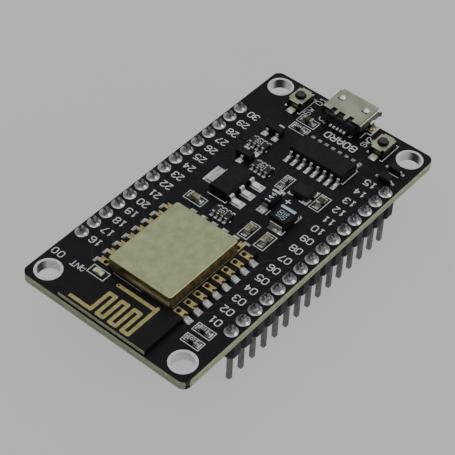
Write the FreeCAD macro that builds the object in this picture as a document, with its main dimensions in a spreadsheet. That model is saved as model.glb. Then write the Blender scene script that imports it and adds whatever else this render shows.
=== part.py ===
import FreeCAD, Part
import math
import os
import Sketcher

# Microcontroller development board. Millimetres.
# Origin: centre of the mounting-hole pattern on the board's underside.
# +X runs toward the USB socket, +Y toward the far header row, +Z up through the board.

os.makedirs("parts", exist_ok=True)
doc = FreeCAD.newDocument("dev_board")
V = FreeCAD.Vector

DIMENSIONS = {
    # circuit board and its mounting holes
    "board_length": 57.6, "board_width": 30.4, "board_thick": 1.6, "board_corner": 1.2,
    "mount_pitch_x": 52.1, "mount_pitch_y": 25.0, "mount_bore": 3.4, "mount_ring": 4.2,
    "plating": 0.05, "pad_thick": 0.04,
    # two-row headers
    "pin_pitch": 2.54, "pin_count": 15, "row_pitch": 27.94, "pin_side": 0.64,
    "pin_below": 8.54, "pin_above": 1.35, "pin_taper": 0.2, "pin_bore": 1.02,
    "strip_tall": 2.54, "strip_wide": 2.5, "strip_notch": 0.6,
    "joint_wide": 2.05, "joint_tall": 1.0, "joint_neck": 0.92,
    # wireless module
    "module_x": -16.6, "module_y": 0.12, "module_length": 24.0, "module_width": 16.0,
    "module_thick": 0.8, "edge_pitch": 2.0, "edge_count": 8, "end_count": 6,
    "edge_first": 10.4, "end_shift": -0.3, "edge_bore": 0.76, "edge_skin": 0.06, "edge_pad_wide": 1.04,
    "edge_pad_deep": 1.83, "via_inset": 1.25, "via_bore": 0.76,
    "land_reach": 1.0, "joint_climb": 0.34,
    "can_x": -13.5, "can_y": 0.22, "can_length": 14.7, "can_width": 11.6, "can_tall": 2.16,
    "can_wall": 0.2, "can_corner": 0.5, "can_edge": 0.18,
    "trace_wide": 0.6,
    # micro-USB socket
    "usb_y": -0.2, "usb_back": 24.8, "usb_front": 29.5, "usb_half": 3.75, "usb_half_low": 2.8,
    "usb_tall": 2.46, "usb_shoulder": 1.0, "usb_wall": 0.25, "usb_round": 0.45,
    "usb_flare": 0.5, "usb_flare_rise": 0.28, "usb_roof_rise": 0.05, "usb_block_back": 24.3,
    "usb_contact_pitch": 0.65, "usb_contact_wide": 0.3, "latch_x": 28.2, "latch_y": 2.3,
    # USB-to-serial chip and its crystal
    "bridge_x": 16.8, "bridge_y": -3.0, "bridge_wide": 3.9, "bridge_long": 9.9,
    "bridge_tall": 1.45, "bridge_pitch": 1.27, "bridge_side_count": 8,
    "crystal_x": 9.65, "crystal_y": -4.9,
    # regulator
    "regulator_x": 3.85, "regulator_y": 4.07, "regulator_long": 6.5, "regulator_wide": 3.5,
    "regulator_tall": 1.6, "regulator_pitch": 2.3,
    # tact buttons
    "button_x": 25.1, "boot_y": 7.85, "reset_y": -8.05, "button_long": 3.7, "button_wide": 2.64,
    "cover_top": 1.46, "cover_wall": 0.15, "cover_hole": 1.85, "cover_gap": 0.4,
    "base_tall": 0.72,
    "plunger_wide": 1.45, "plunger_top": 1.96, "plunger_flange": 2.2, "flange_low": 1.14,
    "flange_thick": 0.12, "dome_low": 0.3, "dome_rise": 0.4, "dome_radius": 1.1,
}

sheet = doc.addObject("Spreadsheet::Sheet", "dims")
for line, (alias, number) in enumerate(DIMENSIONS.items(), 1):
    sheet.set("A%d" % line, alias)
    sheet.set("B%d" % line, str(number))
    sheet.setAlias("B%d" % line, alias)
doc.recompute()

SEAT = "(dims.board_thick + dims.pad_thick)"
MODULE_TOP = "(%s + dims.module_thick)" % SEAT


# ---------------------------------------------------------------- helpers

def value(text):
    """The number that a sheet expression gives."""
    result = sheet.evalExpression(str(text))
    return float(getattr(result, "Value", result))


def move(item, x="0", y="0", z="0"):
    """Bind an item's place to three sheet expressions."""
    for axis, text in zip("xyz", (x, y, z)):
        item.setExpression("Placement.Base." + axis, str(text))
    return item


def block(name, size, centre, low):
    """A box from its three sizes, its plan centre and its lowest height."""
    item = doc.addObject("Part::Box", name)
    for prop, text in zip(("Length", "Width", "Height"), size):
        item.setExpression(prop, str(text))
    x = "(%s) - (%s) / 2" % (centre[0], size[0])
    y = "(%s) - (%s) / 2" % (centre[1], size[1])
    return move(item, x, y, low)


def post(name, radius, height, centre, low):
    """An upright cylinder from its plan centre and its lowest height."""
    item = doc.addObject("Part::Cylinder", name)
    item.setExpression("Radius", str(radius))
    item.setExpression("Height", str(height))
    return move(item, centre[0], centre[1], low)


def tapered_block(name, base, top, height, centre, low):
    """A box whose plan size changes from base to top, as moulded parts are drafted."""
    item = doc.addObject("Part::Wedge", name)
    item.setExpression("Ymin", "0")
    item.setExpression("Ymax", str(height))
    for prop, size in (("X", base[0]), ("Z", base[1]), ("X2", top[0]), ("Z2", top[1])):
        item.setExpression(prop + "min", "-(%s) / 2" % size)
        item.setExpression(prop + "max", "(%s) / 2" % size)
    item.Placement = FreeCAD.Placement(V(0, 0, 0), FreeCAD.Rotation(V(1, 0, 0), 90))
    return move(item, centre[0], centre[1], low)


def moulded(name, long, wide, tall, centre, low, draft=0.12):
    """A moulded package: drafted both ways from the line where the leads leave it."""
    narrow = ("(%s) - %g" % (long, 2 * draft), "(%s) - %g" % (wide, 2 * draft))
    lower = tapered_block(name + "_lower", narrow, (long, wide), "(%s) / 2" % tall, centre, low)
    middle = "%s + (%s) / 2" % (low, tall)
    upper = tapered_block(name + "_upper", (long, wide), narrow, "(%s) / 2" % tall, centre, middle)
    return lower, upper


def fuse(name, items):
    joined = doc.addObject("Part::MultiFuse", name)
    joined.Shapes = items
    joined.Refine = True
    return joined


def cut(name, base, tools):
    """The base with one tool, or several fused, taken out."""
    item = doc.addObject("Part::Cut", name)
    item.Base = base
    item.Tool = tools[0] if len(tools) == 1 else fuse(name + "_tools", tools)
    return item


def group(name, items):
    """Several separate solids of one kind kept as one sub-part."""
    item = doc.addObject("Part::Compound", name)
    item.Links = items
    return item


def new_body(name):
    body = doc.addObject("PartDesign::Body", name)
    body.AllowCompound = True
    return body


def origin(body, role):
    return next(item for item in body.Origin.OriginFeatures if item.Role == role)


def sketch(body, name, plane="XY_Plane", offset="0"):
    profile = body.newObject("Sketcher::SketchObject", name)
    profile.AttachmentSupport = (origin(body, plane), [""])
    profile.MapMode = "FlatFace"
    profile.setExpression("AttachmentOffset.Base.z", offset)
    return profile


def fix_point(profile, index, end, x, y):
    """Hold one sketch point at two sheet expressions, measured from the sketch's origin."""
    for kind, text in (("DistanceX", x), ("DistanceY", y)):
        number = profile.addConstraint(Sketcher.Constraint(kind, -1, 1, index, end, value(text)))
        profile.setExpression("Constraints[%d]" % number, str(text))


def end_at(profile, index, spot):
    """Which end of a sketch edge lies at a spot: 1 for its start, 2 for its end."""
    gaps = [(profile.getPoint(index, end) - spot).Length for end in (1, 2)]
    return 1 + gaps.index(min(gaps))


def link(profile, first, second, spot):
    """Join two sketch edges where they meet."""
    ends = end_at(profile, first, spot), end_at(profile, second, spot)
    profile.addConstraint(Sketcher.Constraint("Coincident", first, ends[0], second, ends[1]))


def draw_polygon(profile, points):
    """A closed outline of straight edges through points given as sheet expressions."""
    corners = [V(value(x), value(y), 0) for x, y in points]
    first = profile.GeometryCount
    count = len(points)
    for index in range(count):
        edge = Part.LineSegment(corners[index], corners[(index + 1) % count])
        profile.addGeometry(edge, False)
    for index in range(count):
        after = first + (index + 1) % count
        profile.addConstraint(Sketcher.Constraint("Coincident", first + index, 2, after, 1))
    for index, (x, y) in enumerate(points):
        fix_point(profile, first + index, 1, x, y)
    return profile


def draw_rectangle(profile, width, depth, x="0", y="0"):
    left, right = "(%s) - (%s) / 2" % (x, width), "(%s) + (%s) / 2" % (x, width)
    low, high = "(%s) - (%s) / 2" % (y, depth), "(%s) + (%s) / 2" % (y, depth)
    return draw_polygon(profile, [(left, low), (right, low), (right, high), (left, high)])


def draw_rounded_rectangle(profile, width, depth, radius):
    """A rectangle about the sketch's origin whose corners are quarter circles."""
    half_x, half_y, round_off = value(width) / 2, value(depth) / 2, value(radius)
    for index, (side_x, side_y) in enumerate(((1, -1), (1, 1), (-1, 1), (-1, -1))):
        centre = V(side_x * (half_x - round_off), side_y * (half_y - round_off), 0)
        start = 90 * index - 90
        spots = [centre + V(round_off * math.cos(math.radians(turn)),
                            round_off * math.sin(math.radians(turn)), 0)
                 for turn in (start, start + 45, start + 90)]
        arc = profile.addGeometry(Part.Arc(*spots), False)
        profile.addConstraint(Sketcher.Constraint("Radius", arc, round_off))
        ends = (("%d * ((%s) / 2 - (%s))" % (side_x, width, radius), "%d * (%s) / 2" % (side_y, depth)),
                ("%d * (%s) / 2" % (side_x, width), "%d * ((%s) / 2 - (%s))" % (side_y, depth, radius)))
        if index % 2:
            ends = ends[::-1]
        fix_point(profile, arc, 1, *ends[0])
        fix_point(profile, arc, 2, *ends[1])
    for arc in (0, 1, 2, 3):
        following = (arc + 1) % 4
        start, end = profile.getPoint(arc, 2), profile.getPoint(following, 1)
        edge = profile.addGeometry(Part.LineSegment(start, end), False)
        profile.addConstraint(Sketcher.Constraint("Coincident", arc, 2, edge, 1))
        profile.addConstraint(Sketcher.Constraint("Coincident", edge, 2, following, 1))
    return profile


def draw_circle(profile, diameter, x="0", y="0"):
    circle = Part.Circle(V(value(x), value(y), 0), V(0, 0, 1), value(diameter) / 2)
    index = profile.addGeometry(circle, False)
    size = profile.addConstraint(Sketcher.Constraint("Diameter", index, value(diameter)))
    profile.setExpression("Constraints[%d]" % size, str(diameter))
    fix_point(profile, index, 3, x, y)
    return profile


def pad(body, profile, length, symmetric=False, downward=False):
    feature = body.newObject("PartDesign::Pad", profile.Name + "_pad")
    feature.Profile = profile
    feature.setExpression("Length", str(length))
    if symmetric:
        feature.SideType = "Symmetric"
    feature.Reversed = downward
    doc.recompute()
    return feature


def pocket(body, profile, depth=None, symmetric=False, upward=False):
    """Take a sketch's outline out of the body, right through it if no depth is given."""
    feature = body.newObject("PartDesign::Pocket", profile.Name + "_pocket")
    feature.Profile = profile
    if depth is None:
        feature.Type = "ThroughAll"
    else:
        feature.setExpression("Length", str(depth))
    if symmetric:
        feature.SideType = "Symmetric"
    feature.Reversed = upward
    doc.recompute()
    return feature


def dress(body, base, kind, test, size):
    """Fillet or chamfer the edges of a feature that pass a test."""
    prop = "Radius" if kind == "Fillet" else "Size"
    edges = ["Edge%d" % (i + 1) for i, edge in enumerate(base.Shape.Edges) if test(edge)]
    feature = body.newObject("PartDesign::" + kind, base.Name + "_" + kind.lower())
    feature.Base = (base, edges)
    feature.setExpression(prop, str(size))
    doc.recompute()
    return feature


def runs_along(edge, axis):
    """True for a straight edge parallel to one axis."""
    if edge.Curve.TypeId != "Part::GeomLine":
        return False
    return abs(getattr(edge.Curve.Direction, axis)) > 0.999


def repeat(body, originals, name, axis, pitch, count, pitch2=None, count2=None):
    """Repeat a feature, or with none given the whole body, in one line or in a grid."""
    feature = body.newObject("PartDesign::LinearPattern", name)
    if originals:
        feature.Originals = originals
    else:
        feature.TransformMode = "Whole shape"
    feature.Direction = (origin(body, axis + "_Axis"), [""])
    feature.setExpression("Length", "(%s) * (%s - 1)" % (pitch, count))
    feature.setExpression("Occurrences", str(count))
    if pitch2 is not None:
        feature.Direction2 = (origin(body, "Y_Axis"), [""])
        feature.setExpression("Length2", "(%s) * (%s - 1)" % (pitch2, count2))
        feature.setExpression("Occurrences2", str(count2))
    body.Tip = feature
    doc.recompute()
    return feature


def mirror(body, name, plane):
    feature = body.newObject("PartDesign::Mirrored", name)
    feature.TransformMode = "Whole shape"
    feature.MirrorPlane = (origin(body, plane), [""])
    body.Tip = feature
    doc.recompute()
    return feature


pads = []


def land(x, y, width, depth):
    """Add one etched solder pad on the board's top face."""
    name = "land_%d" % len(pads)
    pads.append(block(name, (width, depth, "dims.pad_thick"), (x, y), "dims.board_thick"))


# ---------------------------------------------------------------- circuit board

def circuit_board():
    body = new_body("circuit_board")
    outline = sketch(body, "board_outline")
    draw_rectangle(outline, "dims.board_length", "dims.board_width")
    slab = pad(body, outline, "dims.board_thick")
    dress(body, slab, "Fillet", lambda edge: runs_along(edge, "z"), "dims.board_corner")

    top = "dims.board_thick"
    mount = sketch(body, "mount_hole", offset=top)
    draw_circle(mount, "dims.mount_bore + 2 * dims.plating",
                "-dims.mount_pitch_x / 2", "-dims.mount_pitch_y / 2")
    hole = pocket(body, mount)
    repeat(body, [hole], "mount_holes", "X", "dims.mount_pitch_x", 2, "dims.mount_pitch_y", 2)

    pin = sketch(body, "pin_hole", offset=top)
    draw_circle(pin, "dims.pin_bore", "-dims.pin_pitch * (dims.pin_count - 1) / 2",
                "-dims.row_pitch / 2")
    hole = pocket(body, pin)
    repeat(body, [hole], "pin_holes", "X", "dims.pin_pitch", "dims.pin_count",
           "dims.row_pitch", 2)
    return body


def mounting_hole_rings():
    """Four plated barrels, each with a flat ring on both faces of the board."""
    rings = []
    low = "-dims.plating"
    tall = "dims.board_thick + 2 * dims.plating"
    for index, (side_x, side_y) in enumerate(((-1, -1), (1, -1), (1, 1), (-1, 1))):
        centre = ("%d * dims.mount_pitch_x / 2" % side_x, "%d * dims.mount_pitch_y / 2" % side_y)
        name = "mount_ring_%d" % index
        barrel = post(name + "_barrel", "dims.mount_bore / 2 + dims.plating", tall, centre, low)
        lower = post(name + "_lower", "dims.mount_ring / 2", "dims.plating", centre, low)
        upper = post(name + "_upper", "dims.mount_ring / 2", "dims.plating", centre,
                     "dims.board_thick")
        bore = post(name + "_bore", "dims.mount_bore / 2", tall, centre, low)
        rings.append(cut(name, fuse(name + "_solid", [barrel, lower, upper]), [bore]))
    return group("mounting_hole_rings", rings)


# ---------------------------------------------------------------- headers

ROWS = {"near": "-dims.row_pitch / 2", "far": "dims.row_pitch / 2"}
FIRST_PIN = "-dims.pin_pitch * (dims.pin_count - 1) / 2"


def header_strip(row):
    """The moulded strip under the board: one notched segment for each pin."""
    body = new_body("header_strip_" + row)
    side, half = "dims.pin_pitch / 2", "dims.strip_wide / 2"
    inner = "(%s - dims.strip_notch)" % side
    flat = "(%s - dims.strip_notch)" % half
    outline = sketch(body, "segment_" + row)
    draw_polygon(outline, [
        ("-" + side, "-" + flat), ("-" + inner, "-" + half), (inner, "-" + half),
        (side, "-" + flat), (side, flat), (inner, half), ("-" + inner, half), ("-" + side, flat)])
    draw_rectangle(outline, "dims.pin_side", "dims.pin_side")
    pad(body, outline, "dims.strip_tall", downward=True)
    repeat(body, None, "segments_" + row, "X", "dims.pin_pitch", "dims.pin_count")
    return move(body, FIRST_PIN, ROWS[row])


def header_pins(row):
    body = new_body("header_pins_" + row)
    section = sketch(body, "pin_section_" + row)
    draw_rectangle(section, "dims.pin_side", "dims.pin_side")
    bar = pad(body, section, "dims.pin_below + dims.board_thick + dims.pin_above")
    dress(body, bar, "Chamfer", lambda edge: edge.BoundBox.ZLength < 1e-6, "dims.pin_taper")
    repeat(body, None, "pin_row_" + row, "X", "dims.pin_pitch", "dims.pin_count")
    return move(body, FIRST_PIN, ROWS[row], "-dims.pin_below")


def header_solder(row):
    """Solder that fills each plated hole and rises round the pin in a hollow-sided cone."""
    body = new_body("header_solder_" + row)
    profile = sketch(body, "joint_section_" + row, "XZ_Plane")
    bore, foot, neck = "dims.pin_bore / 2", "dims.joint_wide / 2", "dims.joint_neck / 2"
    top = "dims.board_thick + dims.joint_tall"
    rim = "dims.board_thick + 0.1"
    points = [("0", "0"), (bore, "0"), (bore, "dims.board_thick"), (foot, "dims.board_thick"),
              (foot, rim), (neck, top), ("0", top)]
    corners = [V(value(x), value(y), 0) for x, y in points]
    count = len(points)
    hollow_side = 4
    for index in range(count):
        start, end = corners[index], corners[(index + 1) % count]
        edge = Part.LineSegment(start, end)
        if index == hollow_side:
            bow = (start + end) * 0.5 + V(-0.12, -0.077, 0)
            edge = Part.Arc(start, bow, end)
            radius = edge.toShape().Curve.Radius
        profile.addGeometry(edge, False)
    for index in range(count):
        link(profile, index, (index + 1) % count, corners[(index + 1) % count])
    profile.addConstraint(Sketcher.Constraint("Radius", hollow_side, radius))
    for index, (x, y) in enumerate(points):
        fix_point(profile, index, end_at(profile, index, corners[index]), x, y)
    cone = body.newObject("PartDesign::Revolution", "joint_cone_" + row)
    cone.Profile = profile
    cone.ReferenceAxis = (profile, ["V_Axis"])
    cone.Angle = 360
    doc.recompute()
    square = sketch(body, "joint_hole_" + row, offset=top)
    draw_rectangle(square, "dims.pin_side", "dims.pin_side")
    pocket(body, square)
    repeat(body, None, "joint_row_" + row, "X", "dims.pin_pitch", "dims.pin_count")
    return move(body, FIRST_PIN, ROWS[row])


# ---------------------------------------------------------------- wireless module

def module_board():
    """The module's own board, with half-round notches along three edges."""
    body = new_body("module_board")
    outline = sketch(body, "module_outline")
    draw_rectangle(outline, "dims.module_length", "dims.module_width")
    pad(body, outline, "dims.module_thick")
    top = "dims.module_thick"
    first_x = "dims.edge_first - dims.edge_pitch * (dims.edge_count - 1)"
    edge_y = "-dims.module_width / 2"
    first_y = "dims.end_shift - dims.edge_pitch * (dims.end_count - 1) / 2"
    end_x = "dims.module_length / 2"
    for name, size, inset in (("notch", "dims.edge_bore", "0"), ("via", "dims.via_bore", "dims.via_inset")):
        side = sketch(body, name + "_side", offset=top)
        draw_circle(side, size, first_x, edge_y + " + " + inset)
        hole = pocket(body, side)
        repeat(body, [hole], name + "_sides", "X", "dims.edge_pitch", "dims.edge_count",
               "dims.module_width - 2 * (%s)" % inset, 2)
        end = sketch(body, name + "_end", offset=top)
        draw_circle(end, size, end_x + " - " + inset, first_y)
        hole = pocket(body, end)
        repeat(body, [hole], name + "_ends", "Y", "dims.edge_pitch", "dims.end_count")
    return move(body, "dims.module_x", "dims.module_y", SEAT)


def edge_pad(body, tag, outward):
    """One gold pad: a plate on top of the module and a skin lining its half-round notch.

    The pad is drawn on the body's -Y edge, with the module's edge at the distance 'outward'.
    """
    top = "dims.module_thick"
    notch = sketch(body, tag + "_lining")
    draw_circle(notch, "dims.edge_bore", "0", "-" + outward)
    pad(body, notch, top + " + dims.pad_thick")
    plate = sketch(body, tag + "_plate", offset=top)
    middle = "-%s + dims.edge_pad_deep / 2" % outward
    draw_rectangle(plate, "dims.edge_pad_wide", "dims.edge_pad_deep", "0", middle)
    pad(body, plate, "dims.pad_thick")
    bore = sketch(body, tag + "_bore", offset=top + " + dims.pad_thick")
    draw_circle(bore, "dims.edge_bore - 2 * dims.edge_skin", "0", "-" + outward)
    draw_circle(bore, "dims.via_bore", "0", "-%s + dims.via_inset" % outward)
    pocket(body, bore)
    outside = sketch(body, tag + "_outside", offset=top + " + dims.pad_thick")
    draw_rectangle(outside, "2 * dims.edge_pad_wide", "dims.edge_bore", "0",
                   "-%s - dims.edge_bore / 2" % outward)
    pocket(body, outside)


def edge_joint(body, tag, outward):
    """One solder joint: it runs a little way into the lined notch and slopes down to the pad."""
    fill = sketch(body, tag + "_fill")
    draw_circle(fill, "dims.edge_bore - 2 * dims.edge_skin", "0", "-" + outward)
    pad(body, fill, "dims.joint_climb")
    slope = sketch(body, tag + "_slope", "YZ_Plane")
    edge = "-" + outward
    draw_polygon(slope, [(edge, "0"), (edge, "dims.joint_climb"),
                         (edge + " - 0.35", "dims.joint_climb - 0.1"),
                         (edge + " - 0.92", "0.08"), (edge + " - 0.92", "0")])
    pad(body, slope, "dims.edge_pad_wide - 0.14", symmetric=True)


def edge_rows(name, maker):
    """Repeat a pad or joint down both long edges and across the end of the module."""
    sides = new_body(name + "_sides")
    maker(sides, name + "_side", "dims.module_width / 2")
    repeat(sides, None, name + "_line", "X", "dims.edge_pitch", "dims.edge_count")
    left = "dims.module_x + dims.edge_first - dims.edge_pitch * (dims.edge_count - 1)"
    move(sides, left, "dims.module_y", SEAT)
    others = new_body(name + "_others")
    maker(others, name + "_other", "dims.module_width / 2")
    repeat(others, None, name + "_other_line", "X", "dims.edge_pitch", "dims.edge_count")
    others.Placement.Rotation = FreeCAD.Rotation(V(0, 0, 1), 180)
    move(others, "dims.module_x + dims.edge_first", "dims.module_y", SEAT)
    ends = new_body(name + "_ends")
    maker(ends, name + "_end", "dims.module_length / 2")
    repeat(ends, None, name + "_end_line", "X", "dims.edge_pitch", "dims.end_count")
    ends.Placement.Rotation = FreeCAD.Rotation(V(0, 0, 1), 90)
    first = "dims.module_y + dims.end_shift - dims.edge_pitch * (dims.end_count - 1) / 2"
    move(ends, "dims.module_x", first, SEAT)
    return group(name, [sides, others, ends])


def module_lands():
    """Main-board pads under the module's edge joints."""
    reach = "dims.land_reach + 0.4"
    for index in range(int(DIMENSIONS["edge_count"])):
        x = "dims.module_x + dims.edge_first - %d * dims.edge_pitch" % index
        for side in (-1, 1):
            y = "dims.module_y + %d * (dims.module_width / 2 + dims.land_reach / 2 - 0.2)" % side
            land(x, y, "dims.edge_pad_wide", reach)
    for index in range(int(DIMENSIONS["end_count"])):
        y = "dims.module_y + dims.end_shift + (%d - (dims.end_count - 1) / 2) * dims.edge_pitch" % index
        x = "dims.module_x + dims.module_length / 2 + dims.land_reach / 2 - 0.2"
        land(x, y, reach, "dims.edge_pad_wide")


# Corners of the meandering antenna line, from the module's centre.
ANTENNA_LEFT, ANTENNA_RIGHT = -11.35, -7.52
ANTENNA_BARS = (2.44, 1.28, 0.13, -1.0, -2.16, -3.3, -4.45)
ANTENNA_TOP, FEED_X, FEED_TOP, FEED_END = 6.44, -5.69, 2.48, -5.3


def antenna_points():
    """The antenna's centre line: a long leg, six folds and a bar to the feed."""
    points = [(ANTENNA_LEFT, ANTENNA_TOP)]
    side = [ANTENNA_LEFT, ANTENNA_RIGHT]
    for index, y in enumerate(ANTENNA_BARS):
        points.append((side[index % 2], y))
        points.append((side[(index + 1) % 2], y))
    points[-1] = (FEED_END, ANTENNA_BARS[-1])
    return points


def module_antenna_trace():
    """A flat line with round corners, laid on top of the module's board."""
    pieces = []
    path = antenna_points()
    lines = list(zip(path[:-1], path[1:]))
    lines.append(((FEED_X, ANTENNA_BARS[-1]), (FEED_X, FEED_TOP)))
    for index, (start, end) in enumerate(lines):
        length = math.dist(start, end)
        middle = ((start[0] + end[0]) / 2, (start[1] + end[1]) / 2)
        across = abs(end[0] - start[0]) > abs(end[1] - start[1])
        size = (length, "dims.trace_wide") if across else ("dims.trace_wide", length)
        centre = ("dims.module_x + %g" % middle[0], "dims.module_y + %g" % middle[1])
        pieces.append(block("trace_%d" % index, size + ("dims.pad_thick",), centre, MODULE_TOP))
        corner = ("dims.module_x + %g" % end[0], "dims.module_y + %g" % end[1])
        pieces.append(post("trace_corner_%d" % index, "dims.trace_wide / 2", "dims.pad_thick",
                           corner, MODULE_TOP))
    return fuse("module_antenna_trace", pieces)


def module_shield_can():
    """A drawn metal lid, open below, with rounded corners and a rounded top edge."""
    body = new_body("module_shield_can")
    outline = sketch(body, "can_outline")
    draw_rounded_rectangle(outline, "dims.can_length", "dims.can_width", "dims.can_corner")
    lump = pad(body, outline, "dims.can_tall")
    top = value("dims.can_tall")
    dress(body, lump, "Fillet", lambda edge: edge.BoundBox.ZMin > top - 1e-6, "dims.can_edge")
    hollow = sketch(body, "can_hollow")
    draw_rounded_rectangle(hollow, "dims.can_length - 2 * dims.can_wall",
                           "dims.can_width - 2 * dims.can_wall", "dims.can_corner - dims.can_wall")
    pocket(body, hollow, "dims.can_tall - dims.can_wall", upward=True)
    return move(body, "dims.can_x", "dims.can_y", MODULE_TOP)


# Parts hidden under the can, from the can's centre: x, y, length, width, height.
UNDER_CAN = {
    "module_processor": [(-3.2, 0.6, 5.0, 5.0, 0.85)],
    "module_flash_chip": [(3.6, 0.4, 5.2, 5.2, 1.6)],
    "module_crystal": [(-3.4, -3.9, 3.2, 2.5, 0.7)],
    "module_passives": [(-6.4, 3.0, 0.5, 1.0, 0.5), (-6.4, 1.2, 0.5, 1.0, 0.5),
                        (-6.4, -0.6, 0.5, 1.0, 0.5), (0.1, 4.6, 1.0, 0.5, 0.5),
                        (-1.9, 4.6, 1.0, 0.5, 0.5), (-4.0, 4.6, 1.0, 0.5, 0.5),
                        (0.1, -3.6, 0.5, 1.0, 0.5), (5.6, -4.2, 1.0, 0.5, 0.5)],
}


def under_can(name):
    items = []
    for index, (x, y, long, wide, tall) in enumerate(UNDER_CAN[name]):
        centre = ("dims.can_x + %g" % x, "dims.can_y + %g" % y)
        items.append(block("%s_%d" % (name, index), (long, wide, tall), centre, MODULE_TOP))
    return group(name, items)


LED_X, LED_Y = -5.78, 6.18


def module_led():
    """Status light on the module: a clear block between two plated ends."""
    centre = ("dims.module_x + %g" % LED_X, "dims.module_y + %g" % LED_Y)
    lens = block("module_led_block", (0.8, 0.9, 0.55), centre, MODULE_TOP)
    ends = []
    for side in (-1, 1):
        spot = (centre[0], "%s + %g" % (centre[1], side * 0.625))
        ends.append(block("module_led_end_%d" % (side + 1), (0.8, 0.35, 0.35), spot, MODULE_TOP))
    return group("module_led_lens", [lens]), group("module_led_terminals", ends)


# ---------------------------------------------------------------- micro-USB socket

def usb_outline(profile, inset):
    """The socket's section: flat top, upright sides and a narrower floor."""
    inset = "(%s)" % inset
    half, low = "(dims.usb_half - %s)" % inset, "(dims.usb_half_low - %s / 2)" % inset
    roof, floor = "dims.usb_tall - " + inset, inset
    bend = "dims.usb_shoulder"
    return draw_polygon(profile, [("-" + low, floor), (low, floor), (half, bend), (half, roof),
                                  ("-" + half, roof), ("-" + half, bend)])


def usb_shell():
    body = new_body("usb_shell")
    back, front = "dims.usb_back", "dims.usb_front"
    tall, wall = "dims.usb_tall", "dims.usb_wall"
    outline = usb_outline(sketch(body, "shell_outline", "YZ_Plane", back), "0")
    lump = pad(body, outline, front + " - " + back)
    dress(body, lump, "Fillet", lambda edge: runs_along(edge, "x"), "dims.usb_round")
    hollow = usb_outline(sketch(body, "shell_hollow", "YZ_Plane", front), wall)
    lump = pocket(body, hollow)
    outer = value("dims.usb_half - dims.usb_wall") + 0.01

    def inside_edge(edge):
        spot = edge.CenterOfMass
        level = abs(spot.z - value("dims.usb_tall - dims.usb_wall")) < 0.01
        return runs_along(edge, "x") and level and abs(spot.y) < outer

    dress(body, lump, "Fillet", inside_edge, "dims.usb_round - dims.usb_wall")

    # Mouth flares: one bent lip on the roof, one under the floor and one on each side.
    roof = sketch(body, "roof_lip", "XZ_Plane")
    run, rise, roof_rise = "dims.usb_flare", "dims.usb_flare_rise", "dims.usb_roof_rise"
    draw_polygon(roof, [(front + " - 0.01", tall + " - " + wall), (front + " - 0.01", tall),
                        (front + " + " + run, tall + " + " + roof_rise),
                        (front + " + " + run, tall + " + " + roof_rise + " - " + wall)])
    pad(body, roof, "2 * dims.usb_half - 2 * dims.usb_round", symmetric=True)
    floor = sketch(body, "floor_lip", "XZ_Plane")
    draw_polygon(floor, [(front + " - 0.01", "0"), (front + " - 0.01", wall),
                         (front + " + " + run, wall + " - " + rise),
                         (front + " + " + run, "-" + rise)])
    pad(body, floor, "2 * dims.usb_half_low - 0.8", symmetric=True)
    for side in (-1, 1):
        cheek = sketch(body, "cheek_lip_%d" % (side + 1), "XY_Plane", "dims.usb_shoulder + 0.2")
        inner = "%d * (dims.usb_half - dims.usb_wall)" % side
        outside = "%d * dims.usb_half" % side
        lift = "%d * dims.usb_flare_rise" % side
        draw_polygon(cheek, [(front + " - 0.01", inner), (front + " - 0.01", outside),
                             (front + " + " + run, outside + " + " + lift),
                             (front + " + " + run, inner + " + " + lift)])
        pad(body, cheek, "dims.usb_tall - dims.usb_shoulder - 0.65")

    # Feet that are soldered to the board beside the mouth, and two at the back.
    for side in (-1, 1):
        foot = sketch(body, "front_foot_%d" % (side + 1), "YZ_Plane", front + " - 2.15")
        near, far = "%d * (dims.usb_half - 0.1)" % side, "%d * (dims.usb_half + 0.62)" % side
        wing = "%d * (dims.usb_half + 0.2)" % side
        draw_polygon(foot, [(near, "dims.usb_shoulder + 0.5"), (wing, "dims.usb_shoulder + 0.2"),
                            (wing, "0.22"), (far, "0.22"), (far, "0"), (near, "0")])
        pad(body, foot, "1.0")
        heel = sketch(body, "back_foot_%d" % (side + 1))
        draw_rectangle(heel, "0.9", "0.4", back + " - 0.35", "%d * 2.45" % side)
        pad(body, heel, "0.22")

    # Notches in the roof's back edge, with the two tabs between them curled down over the
    # moulding, and the L-shaped openings round the roof's two latch springs.
    for tag, y, wide, deep in (("far", 1.62, 0.8, 0.8), ("mid", 0.1, 1.15, 0.6), ("near", -1.56, 0.8, 0.8)):
        notch = sketch(body, "notch_" + tag, offset=tall + " + 0.1")
        draw_rectangle(notch, "2 * %g" % deep, wide, back, y)
        pocket(body, notch, "dims.usb_wall + 0.3")
    for tag, middle in (("far", 0.95), ("near", -0.82)):
        curl = sketch(body, "curl_" + tag, "XZ_Plane", "%g" % -middle)
        draw_polygon(curl, [(back + " + 0.01", tall + " - " + wall), (back + " + 0.01", tall),
                            (back + " - 0.2", tall + " - 0.05"), (back + " - 0.38", tall + " - 0.24"),
                            (back + " - 0.38", tall + " - 0.42"), (back + " - 0.2", tall + " - 0.3")])
        pad(body, curl, "0.5", symmetric=True)
    for side in (-1, 1):
        slot = sketch(body, "latch_slot_%d" % (side + 1), offset=tall + " + 0.1")
        corners = ((-0.66, -0.42), (-0.66, 0.58), (0.12, 0.58), (0.12, 0.42), (-0.44, 0.42),
                   (-0.44, -0.42))
        draw_polygon(slot, [("dims.latch_x + %g" % dx, "%d * dims.latch_y + %g" % (side, dy))
                            for dx, dy in corners])
        pocket(body, slot, "dims.usb_wall + 0.3")
    return move(body, "0", "dims.usb_y", SEAT)


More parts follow.
